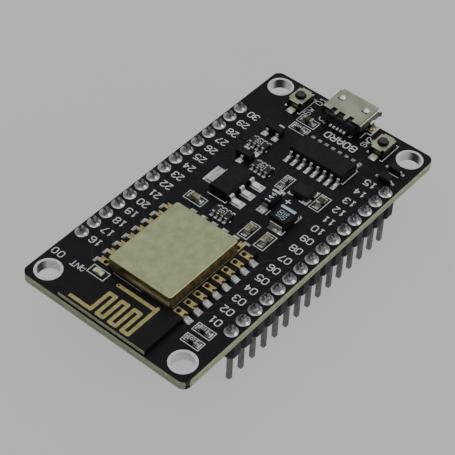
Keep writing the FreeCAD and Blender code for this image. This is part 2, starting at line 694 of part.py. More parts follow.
def usb_insulator():
    """Black moulding: a block behind the shell, a plug inside it and the contact tongue."""
    body = new_body("usb_insulator")
    back, face = "dims.usb_back", "dims.usb_block_back"
    plug = usb_outline(sketch(body, "plug_outline", "YZ_Plane", back), "dims.usb_wall + 0.06")
    pad(body, plug, "1.2")
    rear = sketch(body, "rear_block", "YZ_Plane", face)
    draw_polygon(rear, [("-2.15", "0"), ("2.15", "0"), ("2.15", "0.4"), ("2.9", "0.4"),
                        ("2.9", "1.95"), ("-2.9", "1.95"), ("-2.9", "0.4"), ("-2.15", "0.4")])
    pad(body, rear, back + " - " + face)
    tongue = sketch(body, "tongue", "YZ_Plane", back + " + 1.2")
    draw_rectangle(tongue, "3.9", "0.6", "0", "1.6")
    pad(body, tongue, "2.9")
    return move(body, "0", "dims.usb_y", SEAT)


def usb_contacts():
    """Five tails behind the block and five strips under the tongue."""
    items = []
    for index in range(-2, 3):
        y = "dims.usb_y + %d * dims.usb_contact_pitch" % index
        wide = "dims.usb_contact_wide"
        tail = ("dims.usb_block_back - 0.2", y)
        items.append(block("contact_tail_%d" % (index + 2), (0.4, wide, 0.18), tail, SEAT))
        strip = ("dims.usb_back + 2.55", y)
        items.append(block("contact_strip_%d" % (index + 2), (2.5, wide, 0.08), strip, SEAT + " + 1.22"))
        land("dims.usb_block_back - 0.2", y, 0.5, 0.36)
    for side in (-1, 1):
        y = "dims.usb_y + %d * (dims.usb_half + 0.3)" % side
        land("dims.usb_front - 1.65", y, 1.6, 1.5)
        land("dims.usb_back - 0.6", "dims.usb_y + %d * 2.45" % side, 0.7, 0.5)
    return group("usb_contacts", items)


# ---------------------------------------------------------------- leaded packages

def lead(profile, inner, shoulder, toe, height, thick):
    """A gull-wing lead's side view: out from the package, down, and flat along the pad."""
    knee, drop = "(%s) + (%s)" % (inner, shoulder), "0.22"
    return draw_polygon(profile, [
        (inner, height), (knee, height), ("%s + %s" % (knee, drop), thick), (toe, thick),
        (toe, "0"), ("%s + %s - 0.15" % (knee, drop), "0"),
        ("%s - 0.1" % knee, "%s - %s" % (height, thick)), (inner, "%s - %s" % (height, thick))])


def usb_bridge_leads():
    body = new_body("usb_bridge_leads")
    line = sketch(body, "bridge_lead", "XZ_Plane")
    lead(line, "dims.bridge_wide / 2", "0.25", "3.05", "0.86", "0.2")
    pad(body, line, "0.41", symmetric=True)
    repeat(body, None, "bridge_lead_line", "Y", "dims.bridge_pitch", "dims.bridge_side_count")
    mirror(body, "bridge_lead_pair", "YZ_Plane")
    first = "dims.bridge_y - dims.bridge_pitch * (dims.bridge_side_count - 1) / 2"
    for index in range(int(DIMENSIONS["bridge_side_count"])):
        for side in (-1, 1):
            land("dims.bridge_x + %g" % (side * 2.8), "%s + %d * dims.bridge_pitch" % (first, index),
                 1.8, 0.62)
    return move(body, "dims.bridge_x", first, SEAT)


def usb_bridge_body():
    """The chip's moulding, with a shallow round mark by its first lead."""
    centre = ("dims.bridge_x", "dims.bridge_y")
    low = SEAT + " + 0.08"
    halves = moulded("bridge", "dims.bridge_wide", "dims.bridge_long", "dims.bridge_tall",
                     centre, low)
    mark = post("bridge_mark", 0.32, 0.2, ("dims.bridge_x - 0.95", "dims.bridge_y + 4.0"),
                low + " + dims.bridge_tall - 0.06")
    return cut("usb_bridge_body", fuse("bridge_moulding", list(halves)), [mark])


def crystal():
    """A small dark can: a ceramic tray with four pads and a metal lid."""
    centre = ("dims.crystal_x", "dims.crystal_y")
    base = group("crystal_base", [block("crystal_tray", (2.5, 3.2, 0.55), centre, SEAT)])
    plate = tapered_block("crystal_plate", (2.3, 3.0), (2.15, 2.85), 0.3, centre, SEAT + " + 0.55")
    for side_x in (-1, 1):
        for side_y in (-1, 1):
            land("dims.crystal_x + %g" % (side_x * 0.95), "dims.crystal_y + %g" % (side_y * 1.35),
                 1.2, 1.0)
    return base, group("crystal_lid", [plate])


def regulator_body():
    centre = ("dims.regulator_x", "dims.regulator_y")
    halves = moulded("regulator", "dims.regulator_long", "dims.regulator_wide",
                     "dims.regulator_tall", centre, SEAT + " + 0.06", 0.18)
    return fuse("regulator_body", list(halves))


def regulator_leads():
    """Three leads in front of the regulator, toward the near row."""
    body = new_body("regulator_leads")
    line = sketch(body, "regulator_lead", "YZ_Plane")
    lead(line, "dims.regulator_wide / 2", "0.35", "3.5", "0.98", "0.26")
    pad(body, line, "0.86", symmetric=True)
    repeat(body, None, "regulator_lead_line", "X", "dims.regulator_pitch", 3)
    for index in (-1, 0, 1):
        land("dims.regulator_x + %d * dims.regulator_pitch" % index, "dims.regulator_y - 3.1",
             1.42, 2.07)
    body.Placement.Rotation = FreeCAD.Rotation(V(0, 0, 1), 180)
    return move(body, "dims.regulator_x + dims.regulator_pitch", "dims.regulator_y", SEAT)


def regulator_tab():
    """The wide heat tab behind the regulator."""
    body = new_body("regulator_tab")
    line = sketch(body, "regulator_tab_line", "YZ_Plane")
    lead(line, "dims.regulator_wide / 2", "0.35", "3.45", "0.98", "0.26")
    pad(body, line, "3.0", symmetric=True)
    land("dims.regulator_x", "dims.regulator_y + 3.43", 3.67, 1.48)
    return move(body, "dims.regulator_x", "dims.regulator_y", SEAT)


def transistor(name, x, y, turn):
    """A three-lead transistor: two leads on its +X side and one on its -X side."""
    halves = moulded(name, 1.3, 2.9, 0.98, (x, y), SEAT + " + 0.06", 0.08)
    package = fuse(name + "_body", list(halves))
    leads = new_body(name + "_leads")
    pair = sketch(leads, name + "_pair", "XZ_Plane", "0.95")
    lead(pair, "0.65", "0.15", "1.3", "0.6", "0.13")
    pad(leads, pair, "0.42", symmetric=True)
    mirror(leads, name + "_mirror", "XZ_Plane")
    single = sketch(leads, name + "_single", "XZ_Plane")
    draw_polygon(single, [("-0.65", "0.6"), ("-0.8", "0.6"), ("-1.02", "0.13"), ("-1.3", "0.13"),
                          ("-1.3", "0"), ("-0.87", "0"), ("-0.7", "0.47"),
                          ("-0.65", "0.47")])
    pad(leads, single, "0.42", symmetric=True)
    side = math.cos(math.radians(turn))
    for dx, dy in ((1.35, 0.97), (1.35, -0.97), (-1.35, 0.0)):
        land(x + side * dx, y + side * dy, 0.95, 0.95)
    leads.Placement.Rotation = FreeCAD.Rotation(V(0, 0, 1), turn)
    move(leads, x, y, SEAT)
    return package, leads


def end_leads(name, x, y, along, half, toe, wide, height, thick):
    """Two flat leads folded out from the ends of a package."""
    body = new_body(name)
    line = sketch(body, name + "_line", "XZ_Plane")
    lead(line, half, "0.15", toe, height, thick)
    pad(body, line, wide, symmetric=True)
    mirror(body, name + "_mirror", "YZ_Plane")
    if along == "y":
        body.Placement.Rotation = FreeCAD.Rotation(V(0, 0, 1), 90)
    return move(body, x, y, SEAT)


def diode():
    x, y = 5.25, -2.45
    halves = moulded("diode", 3.0, 1.75, 1.1, (x, y), SEAT + " + 0.04", 0.1)
    land(x - 2.3, y, 1.3, 1.35)
    land(x + 2.05, y, 0.7, 1.1)
    leads = end_leads("diode_leads", x, y, "x", 1.5, 2.2, 0.9, 0.66, 0.16)
    return fuse("diode_body", list(halves)), leads


SIGNAL_DIODES = ((20.0, -12.25), (22.6, -12.25))


def signal_diodes():
    packages, leads = [], []
    for index, (x, y) in enumerate(SIGNAL_DIODES):
        name = "signal_diode_%d" % index
        packages.append(fuse(name, list(moulded(name, 1.25, 1.8, 0.85, (x, y), SEAT + " + 0.04", 0.06))))
        leads.append(end_leads(name + "_leads", x, y, "y", 0.9, 1.42, 0.3, 0.5, 0.12))
        for side in (-1, 1):
            land(x, y + side * 1.38, 0.44, 0.5)
    return group("signal_diode_bodies", packages), group("signal_diode_leads", leads)


def tantalum():
    """A moulded capacitor with a flat metal strip folded under each end."""
    x, y = 2.95, -6.42
    halves = moulded("tantalum", 3.4, 2.8, 1.85, (x, y), SEAT + " + 0.05", 0.1)
    strips = []
    for side in (-1, 1):
        name = "tantalum_strip_%d" % (side + 1)
        upright = block(name + "_upright", (0.14, 2.2, 1.05), (x + side * 1.77, y), SEAT)
        foot = block(name + "_foot", (0.9, 2.2, 0.05), (x + side * 1.39, y), SEAT)
        strips.append(fuse(name, [upright, foot]))
        land(x + side * 1.6, y, 1.5, 2.35)
    return fuse("tantalum_body", list(halves)), group("tantalum_terminals", strips)


# ---------------------------------------------------------------- chip parts

RESISTOR_ARRAYS = ((-1.63, 1.22), (9.57, 2.92), (13.4, 6.62))
ARRAY_PITCH = 0.8


def resistor_arrays():
    """Four resistors in one block, with four plated ends down each side."""
    blocks, ends = [], []
    for number, (x, y) in enumerate(RESISTOR_ARRAYS):
        name = "array_%d" % number
        slab = block(name + "_slab", (1.6, 3.2, 0.5), (x, y), SEAT)
        sockets = []
        for row in range(4):
            spot = y + (row - 1.5) * ARRAY_PITCH
            for side in (-1, 1):
                tag = "%s_%d_%d" % (name, row, side + 1)
                place = (x + side * 0.66, spot)
                sockets.append(block(tag + "_socket", (0.3, 0.46, 0.6), place, SEAT))
                ends.append(block(tag, (0.3, 0.44, 0.53), place, SEAT))
                land(x + side * 0.92, spot, 0.85, 0.5)
        blocks.append(cut(name, slab, sockets))
    return group("resistor_array_bodies", blocks), group("resistor_array_terminals", ends)


CHIP_CAPACITORS = ((-1.78, 6.30, "y"), (-1.55, -3.70, "x"), (-1.70, -6.83, "x"),
                   (9.65, -8.00, "x"), (22.45, 4.20, "y"))
CHIP_RESISTORS = ((9.58, -1.52, "x"), (-22.55, -11.18, "y"), (-20.16, -11.18, "y"),
                  (20.32, 4.20, "y"))


def chips(kind, places, tall):
    """Small two-ended chips: a ceramic block held between two plated ends."""
    blocks, ends = [], []
    for number, (x, y, along) in enumerate(places):
        name = "%s_%d" % (kind, number)
        turned = along == "y"
        size = (0.8, 0.94) if turned else (0.94, 0.8)
        blocks.append(block(name, size + (tall,), (x, y), SEAT))
        for side in (-1, 1):
            shift = side * 0.64
            spot = (x, y + shift) if turned else (x + shift, y)
            plated = (0.86, 0.34) if turned else (0.34, 0.86)
            ends.append(block("%s_end_%d" % (name, side + 1), plated + (tall + 0.03,), spot, SEAT))
            outer = side * 0.84
            spot = (x, y + outer) if turned else (x + outer, y)
            flat = (0.95, 1.0) if turned else (1.0, 0.95)
            land(spot[0], spot[1], flat[0], flat[1])
    return group(kind + "_bodies", blocks), group(kind + "_terminals", ends)


# ---------------------------------------------------------------- buttons

def button_base(name, y):
    """The moulded base, with a round well for the dome."""
    size = ("dims.button_long - 0.1", "dims.button_wide - 0.1", "dims.base_tall")
    slab = block(name + "_slab", size, ("dims.button_x", y), SEAT)
    well = post(name + "_well", "dims.dome_radius + 0.03", "dims.base_tall",
                ("dims.button_x", y), SEAT + " + dims.dome_low")
    return cut(name + "_base", slab, [well])


def button_cover(name, y):
    """The metal cover on the base: a plate with a round hole, cut corners and a short skirt."""
    body = new_body(name + "_cover")
    outline = sketch(body, name + "_cover_outline", offset="dims.base_tall")
    long, wide = "dims.button_long", "dims.button_wide"
    draw_rectangle(outline, long, wide)
    lump = pad(body, outline, "dims.cover_top - dims.base_tall")
    top = value("dims.cover_top")
    dress(body, lump, "Fillet", lambda edge: edge.BoundBox.ZMin > top - 1e-6, "0.08")
    hollow = sketch(body, name + "_cover_hollow", offset="dims.base_tall")
    draw_rectangle(hollow, long + " - 2 * dims.cover_wall", wide + " - 2 * dims.cover_wall")
    pocket(body, hollow, "dims.cover_top - dims.base_tall - dims.cover_wall", upward=True)
    hole = sketch(body, name + "_cover_hole", offset="dims.cover_top")
    draw_circle(hole, "dims.cover_hole")
    pocket(body, hole, "2 * dims.cover_wall")
    gaps = sketch(body, name + "_cover_gaps", offset="dims.cover_top + 0.1")
    for side_x in (-1, 1):
        for side_y in (-1, 1):
            draw_rectangle(gaps, "2 * dims.cover_gap", "2 * dims.cover_gap",
                           "%d * %s / 2" % (side_x, long), "%d * %s / 2" % (side_y, wide))
    pocket(body, gaps)
    return move(body, "dims.button_x", y, SEAT)


def button_plunger(name, y):
    """The round button with a flange under the cover and a nub that presses the dome."""
    body = new_body(name + "_plunger")
    flange = sketch(body, name + "_flange", offset="dims.flange_low")
    draw_circle(flange, "dims.plunger_flange")
    pad(body, flange, "dims.flange_thick")
    stem = sketch(body, name + "_stem", offset="dims.flange_low")
    draw_circle(stem, "dims.plunger_wide")
    lump = pad(body, stem, "dims.plunger_top - dims.flange_low")
    top = value("dims.plunger_top")
    dress(body, lump, "Fillet", lambda edge: edge.BoundBox.ZMin > top - 1e-6, "0.12")
    nub = sketch(body, name + "_nub", offset="dims.flange_low")
    draw_circle(nub, "0.7")
    pad(body, nub, "dims.flange_low - dims.dome_low - dims.dome_rise - 0.02", downward=True)
    return move(body, "dims.button_x", y, SEAT)


def button_dome(name, y):
    """A thin snap dome: the cap of a ball, hollow below."""
    body = new_body(name + "_dome")
    section = sketch(body, name + "_dome_section", "XZ_Plane")
    rim, rise, skin = value("dims.dome_radius"), value("dims.dome_rise"), 0.06
    outer = (rim * rim + rise * rise) / (2 * rise)
    inner = outer - skin
    centre = rise - outer
    inner_rim = math.sqrt(inner * inner - centre * centre)

    def arc(radius, end_x):
        half = 0.5 * math.asin(end_x / radius)
        middle = V(radius * math.sin(half), centre + radius * math.cos(half), 0)
        return Part.Arc(V(0, centre + radius, 0), middle, V(end_x, 0, 0))

    outside = section.addGeometry(arc(outer, rim), False)
    foot = section.addGeometry(Part.LineSegment(V(rim, 0, 0), V(inner_rim, 0, 0)), False)
    inside = section.addGeometry(arc(inner, inner_rim), False)
    axis = section.addGeometry(Part.LineSegment(V(0, rise - skin, 0), V(0, rise, 0)), False)
    link(section, outside, foot, V(rim, 0, 0))
    link(section, foot, inside, V(inner_rim, 0, 0))
    link(section, inside, axis, V(0, rise - skin, 0))
    link(section, axis, outside, V(0, rise, 0))
    fix_point(section, foot, 1, "dims.dome_radius", "0")
    fix_point(section, axis, 2, "0", "dims.dome_rise")
    fix_point(section, axis, 1, "0", "dims.dome_rise - %g" % skin)
    section.addConstraint(Sketcher.Constraint("Radius", outside, outer))
    section.addConstraint(Sketcher.Constraint("Radius", inside, inner))
    cap = body.newObject("PartDesign::Revolution", name + "_dome_cap")
    cap.Profile = section
    cap.ReferenceAxis = (section, ["V_Axis"])
    cap.Angle = 360
    doc.recompute()
    return move(body, "dims.button_x", y, SEAT + " + dims.dome_low")


def button_leads(name, y):
    """One flat lead soldered down at each end of the base."""
    items = []
    for side in (-1, 1):
        reach = "dims.button_x + %d * (dims.button_long / 2 + 0.4)" % side
        items.append(block("%s_lead_%d" % (name, side + 1), (0.9, 1.0, 0.2), (reach, y), SEAT))
        land("dims.button_x + %d * (dims.button_long / 2 + 0.45)" % side, y, 1.0, 1.2)
    land("dims.button_x - 1.8", "%s + 1.35" % y, 0.4, 0.4)
    return group(name + "_leads", items)


# ---------------------------------------------------------------- build and write

module_lands()
nodes = [
    circuit_board(),
    mounting_hole_rings(),
    header_strip("far"), header_strip("near"),
    header_pins("far"), header_pins("near"),
    header_solder("far"), header_solder("near"),
    module_board(),
    edge_rows("module_edge_pads", edge_pad),
    edge_rows("module_solder_joints", edge_joint),
    module_antenna_trace(),
    module_shield_can(),
]
nodes += [under_can(name) for name in UNDER_CAN]
nodes += module_led()
nodes += [usb_shell(), usb_insulator(), usb_contacts(), usb_bridge_body(), usb_bridge_leads()]
nodes += crystal()
nodes += [regulator_body(), regulator_leads(), regulator_tab()]
nodes += transistor("left_transistor", 10.04, 6.6, 0)
nodes += transistor("right_transistor", 17.27, 6.57, 180)
nodes += diode()
nodes += signal_diodes()
nodes += tantalum()
nodes += resistor_arrays()
nodes += chips("chip_capacitor", CHIP_CAPACITORS, 0.8)
nodes += chips("chip_resistor", CHIP_RESISTORS, 0.5)
for name, y in (("boot_button", "dims.boot_y"), ("reset_button", "dims.reset_y")):
    nodes += [button_base(name, y), button_cover(name, y), button_plunger(name, y),
              button_dome(name, y), button_leads(name, y)]
nodes.append(group("solder_pads", pads))
doc.recompute()

for item in doc.Objects:
    if "Invalid" in item.State or "Error" in item.State:
        raise RuntimeError("%s is not in order: %s" % (item.Label, item.State))
for node in nodes:
    if node.Shape.isNull() or not node.Shape.isValid():
        raise RuntimeError("%s has no valid shape" % node.Label)
for node in nodes:
    node.Shape.exportStep("parts/%s.step" % node.Label)
    print("%-28s %3d solids %10.3f mm3" % (node.Label, len(node.Shape.Solids), node.Shape.Volume))
print(len(nodes), "sub-parts written")
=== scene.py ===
import math
import random

import bmesh
import bpy
from mathutils import Matrix, Vector


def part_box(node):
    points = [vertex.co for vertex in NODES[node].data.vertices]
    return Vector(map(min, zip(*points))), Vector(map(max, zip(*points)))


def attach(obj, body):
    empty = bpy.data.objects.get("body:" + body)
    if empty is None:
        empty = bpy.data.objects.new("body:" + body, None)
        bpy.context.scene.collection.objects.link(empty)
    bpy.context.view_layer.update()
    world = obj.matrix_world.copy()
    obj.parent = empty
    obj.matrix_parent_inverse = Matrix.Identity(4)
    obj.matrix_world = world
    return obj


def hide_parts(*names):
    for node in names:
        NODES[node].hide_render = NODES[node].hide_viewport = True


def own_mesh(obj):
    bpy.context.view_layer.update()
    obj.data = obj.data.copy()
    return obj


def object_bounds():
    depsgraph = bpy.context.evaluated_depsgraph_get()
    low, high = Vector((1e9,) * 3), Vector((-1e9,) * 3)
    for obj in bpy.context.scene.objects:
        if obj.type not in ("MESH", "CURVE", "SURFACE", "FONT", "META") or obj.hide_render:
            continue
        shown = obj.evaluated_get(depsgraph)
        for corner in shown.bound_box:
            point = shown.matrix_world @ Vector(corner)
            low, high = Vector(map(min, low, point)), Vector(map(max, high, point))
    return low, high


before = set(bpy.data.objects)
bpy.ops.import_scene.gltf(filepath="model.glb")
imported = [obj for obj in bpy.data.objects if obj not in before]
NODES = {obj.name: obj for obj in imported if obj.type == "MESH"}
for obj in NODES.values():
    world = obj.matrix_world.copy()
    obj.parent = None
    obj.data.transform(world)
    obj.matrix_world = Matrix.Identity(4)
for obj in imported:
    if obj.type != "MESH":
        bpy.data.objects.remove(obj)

CAD_BOX = [list(corner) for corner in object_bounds()]
MM = 0.001
BOARD_LOW, BOARD_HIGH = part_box("circuit_board")
BOARD_TOP = BOARD_HIGH.z / MM
BOARD_UNDER = BOARD_LOW.z / MM
PAD_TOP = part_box("solder_pads")[1].z / MM
MODULE_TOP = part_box("module_board")[1].z / MM


# ---------------------------------------------------------------- reading the frame

def millimetres(node):
    """A CAD node's lowest and highest corners, in millimetres."""
    low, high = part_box(node)
    return low / MM, high / MM


def centre(node):
    low, high = millimetres(node)
    return (low + high) / 2


def solids_of(node):
    """(low, high) in millimetres for each separate solid of a CAD node, left to right."""
    mesh = bmesh.new()
    mesh.from_mesh(NODES[node].data)
    bmesh.ops.remove_doubles(mesh, verts=mesh.verts, dist=1e-7)
    seen, found = set(), []
    for start in mesh.verts:
        if start.index in seen:
            continue
        seen.add(start.index)
        queue, spots = [start], []
        while queue:
            vertex = queue.pop()
            spots.append(vertex.co / MM)
            for edge in vertex.link_edges:
                other = edge.other_vert(vertex)
                if other.index not in seen:
                    seen.add(other.index)
                    queue.append(other)
        low = Vector([min(spot[axis] for spot in spots) for axis in range(3)])
        high = Vector([max(spot[axis] for spot in spots) for axis in range(3)])
        found.append((low, high))
    mesh.free()
    return sorted(found, key=lambda pair: (round(pair[0].x, 3), round(pair[0].y, 3)))


def plan_centres(node):
    """Plan centres of a node's solids, left to right."""
    return [((low + high) / 2).to_2d() for low, high in solids_of(node)]


# ---------------------------------------------------------------- material building blocks

def new_material(name):
    made = bpy.data.materials.new(name)
    made.use_nodes = True
    return made, made.node_tree, made.node_tree.nodes["Principled BSDF"]


def add(tree, kind, inputs, **settings):
    """A node of one kind, with its settings and its inputs linked or set."""
    node = tree.nodes.new("ShaderNode" + kind)
    for key, setting in settings.items():
        setattr(node, key, setting)
    for key, source in inputs.items():
        if isinstance(source, bpy.types.NodeSocket):
            tree.links.new(source, node.inputs[key])
        else:
            node.inputs[key].default_value = source
    return node


def object_place(tree, stretch=(1, 1, 1)):
    """Positions on the object in metres, stretched along each axis."""
    spot = add(tree, "TexCoord", {}).outputs["Object"]
    if stretch == (1, 1, 1):
        return spot
    return add(tree, "Mapping", {"Vector": spot, "Scale": stretch}).outputs["Vector"]


def place_axes(tree):
    """The position on the object in metres, axis by axis."""
    return add(tree, "SeparateXYZ", {0: object_place(tree)}).outputs


def noise(tree, size_mm, detail=3.0, stretch=(1, 1, 1), distortion=0.0):
    """Cloudy values from 0 to 1 whose blotches are about size_mm across."""
    inputs = {"Vector": object_place(tree, stretch), "Scale": 1 / (size_mm * MM),
              "Detail": detail, "Distortion": distortion}
    return add(tree, "TexNoise", inputs).outputs["Fac"]


def cells(tree, size_mm):
    """Grain-like cells about size_mm across."""
    inputs = {"Vector": object_place(tree), "Scale": 1 / (size_mm * MM)}
    return add(tree, "TexVoronoi", inputs).outputs["Distance"]


def spread(tree, factor, low, high):
    """Stretch the middle of a 0 to 1 value over a new range."""
    inputs = {"Value": factor, "From Min": 0.3, "From Max": 0.7, "To Min": low, "To Max": high}
    return add(tree, "MapRange", inputs).outputs["Result"]


def ramp(tree, factor, dark, light, start=0.32, end=0.68):
    node = add(tree, "ValToRGB", {"Fac": factor})
    first, last = node.color_ramp.elements
    first.position, last.position = start, end
    first.color, last.color = (*dark, 1), (*light, 1)
    return node.outputs["Color"]


def blend_colours(tree, factor, first, second):
    inputs = {"Factor": factor, 6: first, 7: second}
    return add(tree, "Mix", inputs, data_type="RGBA").outputs[2]


def blend_values(tree, factor, first, second):
    return add(tree, "Mix", {"Factor": factor, 2: first, 3: second}).outputs[0]


def relief(tree, shader, height, depth_mm, strength=1.0, under=None):
    """Raise the surface by a pattern whose full height is depth_mm."""
    inputs = {"Height": height, "Distance": depth_mm * MM, "Strength": strength}
    if under is not None:
        inputs["Normal"] = under
    normal = add(tree, "Bump", inputs).outputs["Normal"]
    tree.links.new(normal, shader.inputs["Normal"])
    return normal


def math_node(tree, operation, first, second=0.0):
    return add(tree, "Math", {0: first, 1: second}, operation=operation).outputs[0]


def times(tree, first, *others):
    """The product of two or more values."""
    for other in others:
        first = math_node(tree, "MULTIPLY", first, other)
    return first


def between(tree, value, low, high):
    """1 where a value lies between two limits, and 0 elsewhere."""
    above = math_node(tree, "GREATER_THAN", value, low)
    return times(tree, above, math_node(tree, "LESS_THAN", value, high))


def fade(tree, value, start, end, most=1.0):
    """Rises from 0 at start to most at end, both in millimetres."""
    inputs = {"Value": value, "From Min": start * MM, "From Max": end * MM, "To Max": most}
    return add(tree, "MapRange", inputs).outputs["Result"]


def face_axes(tree):
    """The way a face looks, axis by axis."""
    return add(tree, "SeparateXYZ", {0: add(tree, "NewGeometry", {}).outputs["True Normal"]}).outputs


def upward(tree):
    """How squarely a face looks up or down, from 0 on a wall to 1 on a flat top."""
    return math_node(tree, "ABSOLUTE", face_axes(tree)["Z"])


def facing_along(tree, axis):
    """1 on faces that look along one axis, either way, and 0 elsewhere."""
    return math_node(tree, "GREATER_THAN", math_node(tree, "ABSOLUTE", face_axes(tree)[axis]), 0.8)


def on_walls(tree):
    """1 on upright faces and 0 on flat ones."""
    return math_node(tree, "LESS_THAN", upward(tree), 0.5)


def set_surface(tree, shader, colour, shine, metallic=0.0, coat=0.0, specular=0.25):
    tree.links.new(colour, shader.inputs["Base Color"])
    tree.links.new(shine, shader.inputs["Roughness"])
    shader.inputs["Metallic"].default_value = metallic
    shader.inputs["Coat Weight"].default_value = coat
    shader.inputs["Coat Roughness"].default_value = 0.2
    shader.inputs["Specular IOR Level"].default_value = specular


def paint_over(made, share, paint):
    """Cover a look's colour with a paint as far as share says, and return the look."""
    tree = made.node_tree
    base = tree.nodes["Principled BSDF"].inputs["Base Color"]
    tree.links.new(blend_colours(tree, share, base.links[0].from_socket, paint), base)
    return made


def grained(name, dark, light, rough, blotch_mm=1.2, grain_mm=0.12, depth_mm=0.006, walls=None,
            **gloss):
    """Cloudy colour, cloudy gloss and a fine raised grain; upright faces may take a painted shade colour of
    their own.
    """
    made, tree, shader = new_material(name)
    colour = ramp(tree, noise(tree, blotch_mm), dark, light)
    if walls is not None:
        # painted shade: upright faces take a darker colour for the shade on them
        painted_shade = ramp(tree, noise(tree, blotch_mm * 0.7, 4.0), *walls)
        colour = blend_colours(tree, on_walls(tree), colour, painted_shade)
    relief(tree, shader, noise(tree, grain_mm, 2.0), depth_mm)
    set_surface(tree, shader, colour, spread(tree, noise(tree, blotch_mm * 0.6, 4.0), *rough), **gloss)
    return made


# ---------------------------------------------------------------- materials

def laminate(name, node, mask_dark, mask_light, rough, resin=True, scorch=None):
    """A masked glass-fibre board: satin mask on its faces, layered pale resin on its cut edges.

    Without resin, the masked colour also covers the long edges and the pale layers show only
    at the board's two ends. A scorch is the (x, y) in millimetres of a dark mark on the cut edge,
    where the board was broken from its panel; it shows only on the near side of that y.
    """
    made, tree, shader = new_material(name)
    low, high = (corner.z for corner in millimetres(node))
    thick = high - low
    cut_edge = on_walls(tree) if resin else facing_along(tree, "X")
    mask = ramp(tree, noise(tree, 5.0, 4.0), mask_dark, mask_light)
    fibres = noise(tree, 0.5, 3.0, stretch=(0.6, 0.6, 5.0))
    layers = ramp(tree, fibres, (0.21, 0.225, 0.13), (0.45, 0.47, 0.32))
    place = place_axes(tree)
    wander = times(tree, noise(tree, 3.0), 0.06 * thick * MM)
    level = math_node(tree, "ADD", place["Z"], wander)
    layer = between(tree, level, (low + 0.32 * thick) * MM, (low + 0.44 * thick) * MM)
    top_rim = math_node(tree, "GREATER_THAN", level, (high - 0.05 * thick) * MM)
    low_rim = math_node(tree, "LESS_THAN", level, (low + 0.08 * thick) * MM)
    rims = math_node(tree, "MAXIMUM", top_rim, low_rim)
    lines = math_node(tree, "MAXIMUM", times(tree, layer, 0.45), rims)
    layers = blend_colours(tree, lines, layers, (0.025, 0.028, 0.016, 1))
    if scorch is not None:
        stray_mm, half_mm, strength = 0.5, 0.38, 0.92
        stray = times(tree, noise(tree, 0.5, 4.0), stray_mm * MM)
        across = math_node(tree, "ADD", place["X"], stray)
        middle = (scorch[0] + stray_mm / 2) * MM
        mark = between(tree, across, middle - half_mm * MM, middle + half_mm * MM)
        near = math_node(tree, "LESS_THAN", place["Y"], scorch[1] * MM)
        layers = blend_colours(tree, times(tree, mark, near, strength), layers, (0.010, 0.009, 0.005, 1))
    satin = spread(tree, noise(tree, 1.5, 4.0), *rough)
    inputs = {"Vector": object_place(tree), "Scale": 420.0, "Distortion": 1.2}
    weave = [add(tree, "TexWave", inputs, bands_direction=axis).outputs["Fac"] for axis in "XY"]
    under = relief(tree, shader, times(tree, *weave), 0.0025, 0.5)
    relief(tree, shader, noise(tree, 0.25, 3.0), 0.004, 0.6, under)
    set_surface(tree, shader, blend_colours(tree, cut_edge, mask, layers),
                blend_values(tree, cut_edge, satin, 0.7), specular=0.15)
    return made


def solder_look(name, dark, light, rough, grain_mm, depth_mm, metallic=1.0):
    """Solder that has run and set: bright, dimpled and slightly frosted."""
    made, tree, shader = new_material(name)
    under = relief(tree, shader, noise(tree, grain_mm, 2.0, distortion=0.6), depth_mm, 0.8)
    relief(tree, shader, cells(tree, grain_mm * 0.35), depth_mm * 0.25, 0.5, under)
    set_surface(tree, shader, ramp(tree, noise(tree, 0.5, 4.0), dark, light),
                spread(tree, noise(tree, 0.3, 3.0), *rough), metallic)
    return made


def ring_look(name, node, dark, light):
    """Plated rings whose barrels carry painted shade on one side.

    The dark side is the +X side of a barrel at the socket end and the +Y side of one in the
    far row, and lies between the two where both hold.
    """
    made = solder_look(name, dark, light, (0.34, 0.48), 0.6, 0.010, 0.3)
    tree, place = made.node_tree, place_axes(made.node_tree)
    low, high = solids_of(node)[-1]
    middle, bore = (low + high) / 2, (high.x - low.x) * 0.405
    reach, sides = 0.0, 0.0
    for axis, along in (("X", middle.x), ("Y", middle.y)):
        positive = math_node(tree, "GREATER_THAN", place[axis], 0.0)
        out = math_node(tree, "SUBTRACT", place[axis], abs(along) * MM)
        reach = math_node(tree, "ADD", times(tree, positive, out), reach)
        sides = math_node(tree, "ADD", positive, sides)
    # 1 along one axis, and the square root of 2 where a barrel leans both ways
    scale = math_node(tree, "ADD", times(tree, sides, 0.41), 0.59)
    # painted shade: the far side of each barrel is darkened, where shade falls inside the hole
    painted_shade = fade(tree, math_node(tree, "DIVIDE", reach, scale), 0.74 * bore, 0.98 * bore, 0.96)
    return paint_over(made, times(tree, painted_shade, on_walls(tree)), (0.008, 0.009, 0.008, 1))


def cone_look(name, foot_mm, tall_mm, dark, light):
    """Header joints: bright near the board, with painted shade that greys the cone up round the pin."""
    made = solder_look(name, dark, light, (0.20, 0.36), 0.5, 0.05, 0.8)
    tree = made.node_tree
    climb = times(tree, noise(tree, 0.7), 0.3 * tall_mm * MM)
    level = math_node(tree, "ADD", place_axes(tree)["Z"], climb)
    share = fade(tree, level, foot_mm + 0.26 * tall_mm, foot_mm + 0.60 * tall_mm, 0.85)
    # painted shade: grey rising up the cone towards the pin
    cone_shade = ramp(tree, noise(tree, 0.4, 3.0), (0.10, 0.10, 0.105), (0.42, 0.43, 0.43), 0.40, 0.60)
    return paint_over(made, share, cone_shade)


def pin_look(name, shaded_face, lit_face):
    """Square pins: a painted highlight on the faces that look along the row, and painted shade on the
    others.
    """
    made = grained(name, (0.035, 0.035, 0.04), (0.085, 0.085, 0.095), (0.30, 0.44), 1.4, 0.12, 0.004,
                   walls=shaded_face, metallic=0.8)
    tree = made.node_tree
    # painted highlight on the faces along the row; the other upright faces carry painted shade
    return paint_over(made, facing_along(tree, "X"), ramp(tree, noise(tree, 0.8, 4.0), *lit_face))


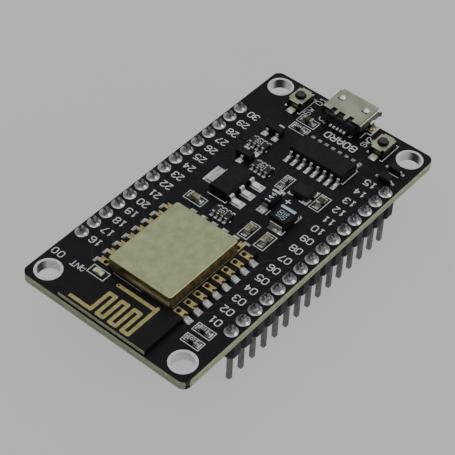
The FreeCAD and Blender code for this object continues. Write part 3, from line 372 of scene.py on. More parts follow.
def ceramic_look(name, node, tan, brown):
    """Chip capacitors: olive tan blocks, and two dark brown ones nearest the socket."""
    made = grained(name, *tan, *FIRED)
    tree = made.node_tree
    last = math_node(tree, "GREATER_THAN", place_axes(tree)["X"], (solids_of(node)[-2][0].x - 0.5) * MM)
    return paint_over(made, last, ramp(tree, noise(tree, 0.35), *brown))


def drawn_metal(name, dark, light, rough, stretch, depth_mm=0.004, walls=None, cloud_mm=3.2):
    """Rolled and drawn sheet: cloudy plating with faint marks along one direction, and painted shade on
    upright faces where given.
    """
    made, tree, shader = new_material(name)
    clouds = noise(tree, cloud_mm, 4.0)
    colour = ramp(tree, clouds, dark, light, 0.38, 0.62)
    if walls is not None:
        # painted shade: upright faces take a darker colour for the shade on them
        painted_shade = ramp(tree, noise(tree, 0.9, 4.0), *walls)
        colour = blend_colours(tree, on_walls(tree), colour, painted_shade)
    streaks = noise(tree, 0.25, 3.0, stretch=stretch)
    shine = spread(tree, blend_values(tree, 0.5, streaks, clouds), *rough)
    under = relief(tree, shader, streaks, depth_mm * 0.5, 0.5)
    relief(tree, shader, noise(tree, 1.6, 2.0), depth_mm * 2, 0.4, under)
    set_surface(tree, shader, colour, shine, metallic=1.0)
    return made


def shield_look(name, *look, strip):
    """The module's can: drawn sheet with a painted highlight, a matt and paler strip, along the foot of its
    end walls.

    The strip runs from the near corner and fades out past the middle of the wall.
    """
    made = drawn_metal(name, *look)
    tree, place = made.node_tree, place_axes(made.node_tree)
    low, high = millimetres("module_shield_can")
    tall, middle = high.z - low.z, (low.y + high.y) / 2
    stray = times(tree, noise(tree, 0.8), 0.3 * tall * MM)
    level = math_node(tree, "ADD", place["Z"], stray)
    # painted highlight: a paler, less metallic band across the end walls
    painted_highlight = times(tree, facing_along(tree, "X"),
                 fade(tree, level, low.z + 0.20 * tall, low.z + 0.50 * tall),
                 fade(tree, level, low.z + 0.86 * tall, low.z + 0.60 * tall),
                 fade(tree, place["Y"], middle + 3.6, middle + 0.8))
    tree.links.new(math_node(tree, "SUBTRACT", 1.0, painted_highlight), tree.nodes["Principled BSDF"].inputs["Metallic"])
    return paint_over(made, painted_highlight, ramp(tree, noise(tree, 0.5, 4.0), *strip))


def banded_package(name, node, band, paint):
    """A black moulding with a painted polarity band across it, from band[0] to band[1] mm."""
    made, tree, shader = new_material(name)
    middle = centre(node).x
    stripe = between(tree, place_axes(tree)["X"], (middle + band[0]) * MM, (middle + band[1]) * MM)
    flat = math_node(tree, "GREATER_THAN", upward(tree), 0.9)
    unworn = math_node(tree, "GREATER_THAN", noise(tree, 0.16, 4.0), 0.36)
    stripe = times(tree, stripe, flat, unworn)
    epoxy = ramp(tree, noise(tree, 0.8), (0.006, 0.006, 0.007), (0.011, 0.011, 0.0125))
    colour = blend_colours(tree, stripe, epoxy, (*paint, 1))
    relief(tree, shader, noise(tree, 0.07, 2.0), 0.006)
    set_surface(tree, shader, colour, spread(tree, noise(tree, 0.4), 0.42, 0.6), specular=0.18)
    return made


def floor_look():
    """Pale paper with a glow of its own, so that the part throws only a faint shadow."""
    made, tree, shader = new_material("floor_paper")
    colour = ramp(tree, noise(tree, 60.0, 4.0), (0.105, 0.105, 0.105), (0.115, 0.115, 0.115))
    shader.inputs["Emission Color"].default_value = (1.0, 1.0, 1.0, 1)
    shader.inputs["Emission Strength"].default_value = 0.497
    relief(tree, shader, noise(tree, 0.6, 3.0), 0.01, 0.3)
    set_surface(tree, shader, colour, spread(tree, noise(tree, 4.0), 0.85, 0.95), specular=0.1)
    return made


def shade_behind(made, package, reach_mm, shade):
    """Dull a look just behind a package, on its +X side, where its own shade falls."""
    tree, place = made.node_tree, place_axes(made.node_tree)
    low, high = millimetres(package)
    along = between(tree, place["X"], high.x * MM, (high.x + reach_mm) * MM)
    across = between(tree, place["Y"], low.y * MM, high.y * MM)
    paint_over(made, times(tree, along, across, 0.5), (*shade, 1))


# Painted shade for upright faces: colours that stand for the shade on walls, from dark to light.
BROWN_WALLS = ((0.05, 0.031, 0.010), (0.16, 0.10, 0.033))
OLIVE_WALLS = ((0.07, 0.06, 0.03), (0.19, 0.17, 0.09))
GOLD_WALLS = ((0.13, 0.105, 0.05), (0.34, 0.29, 0.15))
DARK_WALLS = ((0.045, 0.048, 0.036), (0.15, 0.158, 0.12))
GREY_WALLS = ((0.07, 0.07, 0.065), (0.24, 0.24, 0.225))

# Finishes that several looks share: the roughness range, then blotch, grain and depth in millimetres.
PRINTED = ((0.55, 0.7), 0.5, 0.06, 0.004)
TINNED = ((0.24, 0.40), 0.4, 0.1, 0.006)
MOULDED = ((0.34, 0.5), 1.0, 0.08, 0.006)
FIRED = ((0.36, 0.52), 0.35, 0.07, 0.006)

LOOKS = {}


def add_look(kind, name, *settings, **more):
    LOOKS[name] = kind(name, *settings, **more)


# Looks given colours for their upright faces carry painted shade on those faces.
add_look(laminate, "board_mask", "circuit_board", (0.0040, 0.0040, 0.0056), (0.0070, 0.0070, 0.0096),
         (0.38, 0.50), scorch=(-28.0, -14.3))
add_look(laminate, "module_mask", "module_board", (0.0040, 0.0040, 0.0050), (0.0070, 0.0070, 0.0085),
         (0.36, 0.46), resin=False)
add_look(grained, "track_mask", (0.008, 0.0085, 0.011), (0.012, 0.0125, 0.015), (0.34, 0.44), specular=0.2)
add_look(grained, "ink", (0.52, 0.54, 0.53), (0.76, 0.78, 0.76), *PRINTED)
add_look(grained, "dim_ink", (0.20, 0.21, 0.20), (0.34, 0.35, 0.33), *PRINTED)
add_look(grained, "pale_ink", (0.30, 0.40, 0.50), (0.50, 0.60, 0.70), (0.5, 0.6), 0.3, 0.06, 0.004)
add_look(cone_look, "header_joint", BOARD_TOP, 1.0, (0.45, 0.46, 0.46), (0.95, 0.96, 0.96))
add_look(solder_look, "land", (0.40, 0.42, 0.39), (0.82, 0.84, 0.80), (0.28, 0.44), 0.4, 0.02, 0.5)
add_look(solder_look, "dull_land", (0.12, 0.12, 0.10), (0.52, 0.53, 0.48), (0.22, 0.38), 0.35, 0.03, 0.8)
add_look(solder_look, "module_joint", (0.28, 0.29, 0.265), (0.72, 0.74, 0.69), (0.28, 0.44), 0.4, 0.02, 0.5)
add_look(ring_look, "ring", "mounting_hole_rings", (0.55, 0.575, 0.55), (0.77, 0.79, 0.78))
add_look(grained, "tin", (0.58, 0.59, 0.56), (0.94, 0.95, 0.92), *TINNED, metallic=0.4)
add_look(grained, "lead", (0.76, 0.77, 0.74), (0.98, 0.99, 0.96), *TINNED,
         walls=((0.16, 0.16, 0.15), (0.50, 0.50, 0.47)), metallic=0.15)
add_look(grained, "button_lead", (0.55, 0.57, 0.42), (0.90, 0.92, 0.72), *TINNED, metallic=0.3)
add_look(grained, "tab", (0.36, 0.37, 0.34), (0.72, 0.73, 0.68), (0.26, 0.42), 0.5, 0.1, 0.006,
         walls=GREY_WALLS, metallic=0.5)
add_look(grained, "dull_tin", (0.20, 0.20, 0.18), (0.56, 0.56, 0.51), (0.26, 0.40), 0.35, 0.1, 0.005,
         metallic=0.8)
add_look(grained, "contact", (0.82, 0.83, 0.82), (0.98, 0.99, 0.98), (0.3, 0.44), 0.3, 0.1, 0.004)
add_look(pin_look, "pin", ((0.06, 0.06, 0.06), (0.13, 0.13, 0.125)),
         ((0.12, 0.12, 0.116), (0.22, 0.22, 0.21)))
add_look(grained, "gold", (0.30, 0.225, 0.085), (0.56, 0.455, 0.22), (0.34, 0.48), 0.5, 0.09, 0.005,
         walls=BROWN_WALLS, metallic=0.6)
add_look(grained, "antenna", (0.31, 0.265, 0.10), (0.44, 0.39, 0.17), (0.42, 0.56), 0.8, 0.1, 0.004,
         walls=OLIVE_WALLS, metallic=0.4)
# The shield's strip colours are a painted highlight on its end walls.
add_look(shield_look, "shield", (0.345, 0.385, 0.212), (0.435, 0.48, 0.282), (0.40, 0.50), (1, 14, 1),
         0.003, GOLD_WALLS, 1.5, strip=((0.26, 0.22, 0.10), (0.58, 0.52, 0.31)))
add_look(drawn_metal, "socket", (0.29, 0.32, 0.235), (0.41, 0.44, 0.335), (0.28, 0.40), (14, 1, 1),
         walls=DARK_WALLS)
add_look(drawn_metal, "cover", (0.31, 0.33, 0.22), (0.47, 0.49, 0.35), (0.32, 0.44), (10, 1, 1),
         walls=((0.07, 0.065, 0.04), (0.24, 0.225, 0.16)), cloud_mm=1.3)
add_look(grained, "spring", (0.74, 0.76, 0.72), (0.95, 0.96, 0.93), (0.26, 0.36), 0.8, 0.1, 0.003,
         metallic=0.6)
add_look(drawn_metal, "steel", (0.40, 0.40, 0.40), (0.56, 0.56, 0.56), (0.2, 0.34), (8, 1, 1))
add_look(grained, "strip", (0.006, 0.005, 0.009), (0.012, 0.010, 0.018), (0.40, 0.58), 1.5, 0.08, 0.008,
         specular=0.2)
add_look(grained, "black_moulding", (0.006, 0.006, 0.007), (0.012, 0.012, 0.014), *MOULDED, specular=0.2)
add_look(grained, "socket_moulding", (0.010, 0.010, 0.013), (0.030, 0.030, 0.038), *MOULDED, specular=0.35)
add_look(grained, "epoxy", (0.006, 0.006, 0.007), (0.011, 0.011, 0.0125), (0.44, 0.62), 0.9, 0.06, 0.009,
         specular=0.18)
add_look(grained, "lid", (0.007, 0.006, 0.005), (0.014, 0.0125, 0.010), (0.34, 0.5), 0.9, 0.1, 0.004,
         specular=0.2)
add_look(grained, "tray", (0.010, 0.009, 0.007), (0.020, 0.018, 0.015), (0.5, 0.64), 0.6, 0.06, 0.006)
add_look(ceramic_look, "ceramic", "chip_capacitor_bodies", ((0.10, 0.096, 0.045), (0.30, 0.285, 0.155)),
         ((0.030, 0.024, 0.012), (0.090, 0.070, 0.036)))
add_look(grained, "tan_ceramic", (0.17, 0.125, 0.05), (0.34, 0.27, 0.13), *FIRED)
add_look(grained, "black_glaze", (0.006, 0.006, 0.008), (0.012, 0.012, 0.015), (0.22, 0.36), 0.5, 0.08,
         0.004, coat=0.1)
add_look(grained, "lens", (0.40, 0.44, 0.20), (0.62, 0.65, 0.38), (0.16, 0.3), 0.3, 0.1, 0.003, coat=0.6)
add_look(grained, "plunger", (0.022, 0.021, 0.026), (0.055, 0.052, 0.062), (0.40, 0.55), 0.5, 0.08, 0.006,
         walls=((0.005, 0.005, 0.006), (0.010, 0.010, 0.012)))
add_look(grained, "flux", (0.15, 0.135, 0.03), (0.50, 0.45, 0.14), (0.16, 0.30), 0.3, 0.12, 0.02,
         metallic=0.5, coat=0.5)
add_look(banded_package, "tantalum", "tantalum_body", (0.84, 1.38), (0.42, 0.52, 0.62))
add_look(banded_package, "diode", "diode_body", (0.92, 1.34), (0.60, 0.62, 0.60))
add_look(grained, "signal_diode", (0.006, 0.006, 0.007), (0.012, 0.012, 0.014), (0.36, 0.5), 0.5, 0.07,
         0.006, specular=0.2)
for name in ("land", "lead"):
    shade_behind(LOOKS[name], "usb_bridge_body", 2.2, (0.07, 0.07, 0.065))

# Each look's CAD nodes. The snap domes have none: pieces of this script replace them.
LOOK_NODES = {
    "board_mask": "circuit_board",
    "ring": "mounting_hole_rings",
    "land": "solder_pads",
    "strip": "header_strip_far header_strip_near",
    "pin": "header_pins_far header_pins_near",
    "header_joint": "header_solder_far header_solder_near",
    "module_mask": "module_board",
    "gold": "module_edge_pads",
    "module_joint": "module_solder_joints",
    "antenna": "module_antenna_trace",
    "shield": "module_shield_can",
    "epoxy": (
        "module_processor module_flash_chip usb_bridge_body regulator_body left_transistor_body "
        "right_transistor_body"),
    "steel": "module_crystal",
    "tan_ceramic": "module_passives",
    "lens": "module_led_lens",
    "tin": "module_led_terminals",
    "socket": "usb_shell",
    "socket_moulding": "usb_insulator",
    "contact": "usb_contacts",
    "lead": (
        "usb_bridge_leads regulator_leads left_transistor_leads right_transistor_leads "
        "tantalum_terminals"),
    "tray": "crystal_base",
    "lid": "crystal_lid",
    "tab": "regulator_tab",
    "diode": "diode_body",
    "dull_tin": (
        "diode_leads signal_diode_leads resistor_array_terminals chip_capacitor_terminals "
        "chip_resistor_terminals"),
    "signal_diode": "signal_diode_bodies",
    "tantalum": "tantalum_body",
    "black_glaze": "resistor_array_bodies chip_resistor_bodies",
    "ceramic": "chip_capacitor_bodies",
    "black_moulding": "boot_button_base reset_button_base",
    "cover": "boot_button_cover reset_button_cover",
    "plunger": "boot_button_plunger reset_button_plunger",
    "button_lead": "boot_button_leads reset_button_leads",
}
for name, nodes in LOOK_NODES.items():
    for node in nodes.split():
        NODES[node].data.materials[0] = LOOKS[name]

# Softly broken edges on packages, chips and folded metal, by their width in millimetres.
BROKEN_EDGES = {
    0.06: (
        "usb_bridge_body regulator_body diode_body tantalum_body chip_capacitor_terminals "
        "header_strip_far header_strip_near"),
    0.05: "left_transistor_body right_transistor_body signal_diode_bodies crystal_lid usb_insulator",
    0.04: (
        "chip_capacitor_bodies chip_resistor_terminals crystal_base regulator_leads regulator_tab "
        "boot_button_leads reset_button_leads"),
    0.03: "resistor_array_terminals module_led_terminals tantalum_terminals",
    0.08: "module_led_lens",
}


def break_edges(node, width_mm):
    piece = NODES[node]
    weld = piece.modifiers.new("weld", "WELD")
    weld.merge_threshold = 1e-7
    bevel = piece.modifiers.new("broken_edges", "BEVEL")
    bevel.width = width_mm * MM
    bevel.segments = 2
    bevel.limit_method = "ANGLE"
    bevel.angle_limit = math.radians(35)


for width_mm, nodes in BROKEN_EDGES.items():
    for node in nodes.split():
        break_edges(node, width_mm)


# ---------------------------------------------------------------- mesh building blocks

def finish_piece(name, mesh, look, smooth=False):
    """Turn a bmesh drawn in millimetres into a piece that rides on the board."""
    bmesh.ops.scale(mesh, vec=(MM, MM, MM), verts=mesh.verts)
    bmesh.ops.recalc_face_normals(mesh, faces=mesh.faces)
    data = bpy.data.meshes.new(name)
    mesh.to_mesh(data)
    mesh.free()
    for face in data.polygons:
        face.use_smooth = smooth
    piece = bpy.data.objects.new(name, data)
    bpy.context.scene.collection.objects.link(piece)
    data.materials.append(LOOKS[look])
    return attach(piece, "board")


def side_points(points, half, closed):
    """The two edges of a ribbon that follows a line, mitred at its corners."""
    count = len(points)
    left, right = [], []
    for index, point in enumerate(points):
        before = points[index - 1] if index or closed else None
        after = points[(index + 1) % count] if index < count - 1 or closed else None
        ways = []
        if before is not None:
            ways.append((point - before).normalized())
        if after is not None:
            ways.append((after - point).normalized())
        way = sum(ways, Vector((0, 0))).normalized()
        normal = Vector((-way.y, way.x))
        reach = half / max(0.5, normal.dot(Vector((-ways[0].y, ways[0].x))))
        shift = Vector((0, 0))
        if len(ways) == 1:
            shift = ways[0] * (half * 0.7) * (-1 if before is None else 1)
        left.append(point + shift + normal * reach)
        right.append(point + shift - normal * reach)
    return left, right


INK_THICK = 0.02
# How far each point of a ribbon, and each stroke of a letter, stands over the one before it.
LIFT = 0.0006
STROKE_LIFT = 4.5 * LIFT


def add_ribbon(mesh, points, width, low, high):
    """A flat solid strip along a line of (x, y) points; it closes where the ends meet.

    It thickens by a hair from each point to the next, so that no two stretches lie at one level
    where they cross.
    """
    points = [Vector(point) for point in points]
    closed = (points[0] - points[-1]).length < 1e-6
    if closed:
        points = points[:-1]
    left, right = side_points(points, width / 2, closed)
    rows = [[mesh.verts.new((*spot, level + lift * index)) for index, spot in enumerate(side)]
            for side, level, lift in ((left, high, LIFT), (right, high, LIFT),
                                      (right, low, -LIFT), (left, low, -LIFT))]
    count = len(points)
    for index in range(count if closed else count - 1):
        after = (index + 1) % count
        for side in range(4):
            following = (side + 1) % 4
            mesh.faces.new((rows[side][index], rows[side][after],
                            rows[following][after], rows[following][index]))
    if not closed:
        for index in (0, count - 1):
            mesh.faces.new([row[index] for row in rows])


def add_ring(mesh, spot, long, wide, level, sides, ripple=0.0, phase=0.0):
    """A ring of vertices at one level: an ellipse, with three waves in it where it ripples."""
    ring = []
    for step in range(sides):
        turn = 2 * math.pi * step / sides
        swell = 1 + ripple * math.sin(3 * turn + phase)
        ring.append(mesh.verts.new((spot[0] + long * swell * math.cos(turn),
                                    spot[1] + wide * swell * math.sin(turn), level)))
    return ring


def loft(mesh, rings):
    """Join each ring of vertices to the next by a band of faces."""
    for ring, following in zip(rings[:-1], rings[1:]):
        for step in range(len(ring)):
            after = (step + 1) % len(ring)
            mesh.faces.new((ring[step], ring[after], following[after], following[step]))


def add_disc(mesh, spot, radius, low, high, sides, bore=0.0):
    """A flat round plate, or a ring where a bore is given."""
    rings = [add_ring(mesh, spot, radius, radius, level, sides) for level in (high, low)]
    if bore:
        rings += [add_ring(mesh, spot, bore, bore, level, sides) for level in (low, high)]
        loft(mesh, rings + rings[:1])
    else:
        loft(mesh, rings)
        for ring in rings:
            mesh.faces.new(ring)


def rounded(points, cut=0.28):
    """Round a line's inner corners, each by two short steps."""
    points = [Vector(point) for point in points]
    closed = (points[0] - points[-1]).length < 1e-6
    ring = points[:-1] if closed else points
    count = len(ring)
    result = []
    for index, point in enumerate(ring):
        if not closed and index in (0, count - 1):
            result.append(point)
            continue
        before, after = ring[index - 1], ring[(index + 1) % count]
        reach = cut * min((point - before).length, (after - point).length)
        start = point + (before - point).normalized() * reach
        end = point + (after - point).normalized() * reach
        result += [start, point * 0.5 + (start + end) * 0.25, end]
    return result + [result[0]] if closed else result


# Each glyph is one or more strokes on a grid 4 wide and 6 high; a pair of digits is a point.
GLYPHS = {
    "0": ["10 30 41 45 36 16 05 01 10"],
    "1": ["14 26 20", "10 30"],
    "2": ["05 16 36 45 44 00 40"],
    "3": ["05 16 36 45 44 33 42 41 30 10 01", "33 23"],
    "4": ["30 36 02 42"],
    "5": ["46 06 04 34 43 41 30 10 01"],
    "6": ["45 36 16 05 01 10 30 41 42 33 13 02"],
    "7": ["06 46 10"],
    "8": ["13 04 05 16 36 45 44 33 13 02 01 10 30 41 42 33"],
    "9": ["01 10 30 41 45 36 16 05 04 13 33 44"],
    " ": [],
    "A": ["00 04 26 44 40", "02 42"],
    "B": ["00 06 36 45 44 33 42 41 30 00", "03 33"],
    "D": ["00 06 26 45 41 20 00"],
    "N": ["00 06 40 46"],
    "R": ["00 06 36 45 44 33 03", "23 40"],
    "S": ["45 36 16 05 04 13 33 42 41 30 10 01"],
    "T": ["06 46", "26 20"],
    "W": ["06 10 24 30 46"],
    "+": ["21 25", "03 43"],
}
GLYPHS["O"] = GLYPHS["0"]


def add_word(mesh, word, middle, height, turn=0.0, stroke=0.16, low=BOARD_TOP, thick=INK_THICK,
             gap=0.24, mirrored=False):
    """Stroke lettering centred on a point, turned anticlockwise by degrees."""
    unit = height / 6
    advance = 4 * unit + gap * height
    length = advance * len(word) - gap * height
    spin = Matrix.Rotation(math.radians(turn), 2)
    flip = -1 if mirrored else 1
    for position, letter in enumerate(word):
        for number, line in enumerate(GLYPHS[letter]):
            points = []
            over = STROKE_LIFT * number
            for pair in line.split():
                x = position * advance + int(pair[0]) * unit - length / 2
                y = int(pair[1]) * unit - height / 2
                points.append(Vector(middle) + spin @ Vector((flip * x, y)))
            add_ribbon(mesh, rounded(points), stroke, low - over, low + thick + over)


# ---------------------------------------------------------------- printed legend

LINE = 0.15


def rectangle(low, high):
    return [(low[0], low[1]), (high[0], low[1]), (high[0], high[1]), (low[0], high[1]), (low[0], low[1])]


def print_pin_numbers():
    """Two-digit pin numbers beside each row, on the top and on the underside."""
    mesh = bmesh.new()
    rows = (("header_pins_near", 1, 2.84), ("header_pins_far", 16, -2.67))
    for node, first, inward in rows:
        for index, spot in enumerate(plan_centres(node)):
            word = "%02d" % (first + index)
            middle = (spot.x, spot.y + inward)
            add_word(mesh, word, middle, 1.15, 90, 0.16)
            below = (spot.x, spot.y + inward * 0.86)
            add_word(mesh, word, below, 1.0, 90, 0.15, BOARD_UNDER - INK_THICK, INK_THICK,
                     mirrored=True)
    finish_piece("pin_numbers", mesh, "ink")


def print_words():
    """Short plain words: the antenna end, the board and the two switches."""
    mesh = bmesh.new()
    add_word(mesh, "BOARD", (22.2, -2.25), 1.25, 90, 0.2, gap=0.3)
    add_word(mesh, "ANT", (-22.8, 9.85), 1.05, 90, 0.14, gap=0.18)
    add_word(mesh, "00", (-22.8, 13.75), 1.1, 90, 0.14, gap=0.4)
    button = centre("boot_button_base")
    add_word(mesh, "SW 01", (button.x + 0.9, button.y - 2.28), 1.05, 0, 0.115, gap=0.3)
    button = centre("reset_button_base")
    add_word(mesh, "SW2", (button.x - 0.25, button.y + 2.7), 0.95, 0, 0.13, gap=0.2)
    finish_piece("legend_words", mesh, "ink")


def print_outlines():
    """Boxes round the chips and short brackets beside the larger parts."""
    mesh = bmesh.new()
    high = BOARD_TOP + INK_THICK

    def line(*points, width=LINE):
        add_ribbon(mesh, points, width, BOARD_TOP, high)

    for node, long, wide in (("chip_capacitor_bodies", 1.66, 0.86), ("chip_resistor_bodies", 1.55, 0.78)):
        for low, top in solids_of(node):
            upright = (top - low).y > (top - low).x
            half = Vector((wide, long)) if upright else Vector((long, wide))
            spot = ((low + top) / 2).to_2d()
            line(*rectangle(spot - half, spot + half), width=0.12)

    low, top = millimetres("regulator_body")
    edge = low.x - 0.14
    line((edge + 0.3, low.y + 0.1), (edge - 0.05, low.y + 0.1), (edge - 0.05, top.y), width=0.14)

    low, top = millimetres("usb_bridge_body")
    line((low.x + 0.2, low.y + 0.25), (low.x + 0.2, low.y - 0.15), (top.x, low.y - 0.15),
         (top.x, low.y + 0.25), width=0.13)

    for button in ("boot_button", "reset_button"):
        middle = centre(button + "_base")
        y, half = middle.y - 1.52, 2.15
        line((middle.x - half, y + 0.4), (middle.x - half, y),
             (middle.x + half, y), (middle.x + half, y + 0.4), width=0.12)

    low, top = millimetres("usb_shell")
    pad_y = (low.y + top.y) / 2 - 4.7
    line((26.5, pad_y + 0.75), (26.5, pad_y), (28.7, pad_y))
    line((24.95, pad_y + 0.92), (26.4, pad_y + 0.92), width=0.12)
    arc = [(24.55 + 0.55 * math.cos(math.radians(turn)), 3.0 + 0.5 * math.sin(math.radians(turn)))
           for turn in range(80, 281, 20)]
    line(*arc, width=0.16)

    low, top = millimetres("diode_body")
    y = low.y - 0.18
    line((low.x - 1.3, y), (low.x - 0.1, y), width=0.14)

    low, top = millimetres("tantalum_body")
    line((low.x - 0.5, low.y + 0.3), (low.x - 0.5, low.y + 0.05), (low.x + 0.5, low.y + 0.05), width=0.14)
    line((top.x - 0.6, low.y + 0.05), (top.x + 0.85, low.y + 0.05), (top.x + 1.0, low.y + 0.35), width=0.14)
    add_word(mesh, "+", (top.x + 2.1, top.y + 0.72), 1.25, 0, 0.2)

    low, top = millimetres("crystal_base")
    line((low.x - 0.42, low.y + 1.1), (low.x - 0.42, low.y - 0.2), (low.x + 0.7, low.y - 0.2), width=0.16)
    line((top.x - 0.7, low.y - 0.2), (top.x + 0.4, low.y - 0.2), width=0.16)

    low, top = solids_of("signal_diode_bodies")[1]
    line((low.x - 0.3, low.y - 0.3), (low.x - 0.3, top.y - 0.45), width=0.1)

    for low, top in solids_of("resistor_array_bodies"):
        for y in (low.y - 0.2, top.y + 0.2):
            line((low.x + 0.2, y), (low.x + 0.5, y), width=0.12)
    finish_piece("legend_outlines", mesh, "ink")


def print_module_marks():
    """White marks on the module: a box round its light, a bar and a border by the can."""
    mesh = bmesh.new()
    high = MODULE_TOP + INK_THICK

    def line(*points, width=0.13):
        add_ribbon(mesh, points, width, MODULE_TOP, high)

    low, top = millimetres("module_led_lens")
    spot = ((low + top) / 2).to_2d()
    half = Vector((0.8, 1.5))
    line(*rectangle(spot - half, spot + half))
    low, top = millimetres("module_shield_can")
    line((low.x + 0.1, top.y - 1.3), (low.x, top.y - 1.3), width=0.1)
    finish_piece("module_marks", mesh, "ink")
    border = bmesh.new()
    for start, end, width in (((low.x + 0.4, low.y - 0.14), (top.x - 0.3, low.y - 0.14), 0.06),
                              ((low.x - 0.22, low.y + 5.1), (low.x - 0.22, top.y - 1.3), 0.085)):
        add_ribbon(border, [start, end], width, MODULE_TOP, high)
    finish_piece("module_border", border, "dim_ink")


def print_part_codes():
    """Plain digits on the resistor arrays, the chip resistors, the diode and the tantalum capacitor."""
    white, pale = bmesh.new(), bmesh.new()
    thick = 0.006

    def print_code(mesh, word, box, height, turn, stroke, shift=(0, 0), gap=0.24):
        """Digits on top of one body, moved from its middle by shift."""
        middle = (box[0] + box[1]) / 2
        spot = (middle.x + shift[0], middle.y + shift[1])
        add_word(mesh, word, spot, height, turn, stroke, box[1].z, thick, gap)

    for box in solids_of("resistor_array_bodies"):
        print_code(white, "102", box, 0.55, 90, 0.065)
    for box in solids_of("chip_resistor_bodies"):
        size = box[1] - box[0]
        print_code(white, "10", box, 0.42, 90 if size.y > size.x else 0, 0.07)
    print_code(white, "144", millimetres("diode_body"), 0.82, 0, 0.12, (-0.35, 0))
    finish_piece("part_digits", white, "ink")
    for word, across in (("100", 0.44), ("016", -0.44)):
        print_code(pale, word, millimetres("tantalum_body"), 0.66, 0, 0.08, (-0.40, across), 0.14)
    finish_piece("capacitor_digits", pale, "pale_ink")


def drill_antenna_via():
    """A dark disc at the free end of the antenna's feed line: painted shade that stands for its plated
    hole.
    """
    mesh = bmesh.new()
    middle = centre("module_board")
    top = millimetres("module_antenna_trace")[1].z
    spot = (middle.x - 5.69, middle.y + 2.48)
    add_disc(mesh, spot, 0.17, top, top + 0.006, 18)
    finish_piece("antenna_via", mesh, "strip")


drill_antenna_via()
print_pin_numbers()
print_words()
print_outlines()
print_module_marks()
print_part_codes()


# ---------------------------------------------------------------- tracks and vias under the mask

TRACK_THICK = 0.014


def route(start, end, bend=0.5):
    """A track from one point to another: straight, a 45 degree stretch, and straight again."""
    start, end = Vector(start), Vector(end)
    step = end - start
    if abs(step.y) >= abs(step.x):
        straight = (abs(step.y) - abs(step.x)) * math.copysign(1, step.y)
        first = Vector((start.x, start.y + straight * bend))
        second = Vector((end.x, first.y + abs(step.x) * math.copysign(1, step.y)))
    else:
        straight = (abs(step.x) - abs(step.y)) * math.copysign(1, step.x)
        first = Vector((start.x + straight * bend, start.y))
        second = Vector((first.x + abs(step.y) * math.copysign(1, step.x), end.y))
    points = [start]
    for point in (first, second, end):
        if (point - points[-1]).length > 1e-3:
            points.append(point)
    return points


def lay_tracks():
    """Masked copper tracks: fan-outs from the headers to the module and round the chips."""
    top, under = bmesh.new(), bmesh.new()
    high = BOARD_TOP + TRACK_THICK
    low, module_high = millimetres("module_board")
    far, near = plan_centres("header_pins_far"), plan_centres("header_pins_near")
    joints = plan_centres("module_solder_joints")
    upper = sorted((spot for spot in joints if spot.y > module_high.y - 0.6), key=lambda spot: spot.x)
    lower = sorted((spot for spot in joints if spot.y < low.y + 0.6), key=lambda spot: spot.x)
    for pins, pads, side, skip in ((far, upper, 1, 0), (near, lower, -1, 1)):
        for index, pad in enumerate(pads):
            pin = pins[index + skip]
            start = (pin.x, pin.y - side * 0.95)
            add_ribbon(top, route(start, (pad.x, pad.y + side * 0.8), 0.7), 0.28, BOARD_TOP, high)
    leads = plan_centres("usb_bridge_leads")
    middle = centre("usb_bridge_body").x
    for index, lead in enumerate(spot for spot in leads if spot.x < middle):
        reach = 1.6 + 0.45 * (index % 3)
        add_ribbon(top, [(lead.x - 1.1, lead.y), (lead.x - reach, lead.y)], 0.22, BOARD_TOP, high)
    for pins, side, sway, ways, reach in ((far[8:], 1, -0.6, 3, 5.0), (near[9:], -1, 0.5, 2, 4.6)):
        for index, pin in enumerate(pins):
            end = (pin.x + sway * (index % ways), pin.y - side * reach)
            add_ribbon(top, route((pin.x, pin.y - side * 0.95), end, 0.8), 0.26, BOARD_TOP, high)
    finish_piece("top_tracks", top, "track_mask")

    below = BOARD_UNDER - TRACK_THICK
    for index, (start, end) in enumerate(zip(far[1:14], near[1:14])):
        sway = 1.9 * math.sin(index * 1.3)
        half = Vector((start.x + sway, 0.35 * (index % 4)))
        add_ribbon(under, route((start.x, start.y - 1.45), half, 0.3), 0.3, below, BOARD_UNDER)
        if index % 3:
            add_ribbon(under, route(half, (end.x, end.y + 1.45), 0.6), 0.3, below, BOARD_UNDER)
    finish_piece("under_tracks", under, "track_mask")


def drill_vias():
    """Small masked vias ringed by raised copper: some between the parts, and more on the underside."""
    dice = random.Random(11)
    taken = []
    for node in NODES:
        if node not in ("circuit_board", "solder_pads") and not node.startswith("header_strip"):
            taken += [pair for pair in solids_of(node) if pair[0].z > BOARD_UNDER - 1]
    taken += solids_of("solder_pads")
    mesh = bmesh.new()
    spots = []
    edge = BOARD_HIGH / MM
    through, under_only = 46, 60
    radius, bore, sides = 0.3, 0.13, 16
    under = BOARD_UNDER - TRACK_THICK

    def ring_under(spot):
        add_disc(mesh, spot, radius, under, BOARD_UNDER, sides, bore)

    while len(spots) < through:
        spot = Vector((dice.uniform(-edge.x + 1.5, edge.x - 1.5), dice.uniform(-9.3, 9.3)))
        clear = all(not (low.x - 0.5 < spot.x < high.x + 0.5 and low.y - 0.5 < spot.y < high.y + 0.5)
                    for low, high in taken)
        if clear and all((spot - other).length > 1.1 for other in spots):
            spots.append(spot)
            add_disc(mesh, spot, radius, BOARD_TOP, BOARD_TOP + TRACK_THICK, sides, bore)
            ring_under(spot)
    for _ in range(under_only):
        ring_under((dice.uniform(-edge.x + 4, edge.x - 4), dice.uniform(-10.5, 10.5)))
    finish_piece("vias", mesh, "track_mask")


lay_tracks()
drill_vias()


# ---------------------------------------------------------------- solder fillets

X, Y = 0, 1


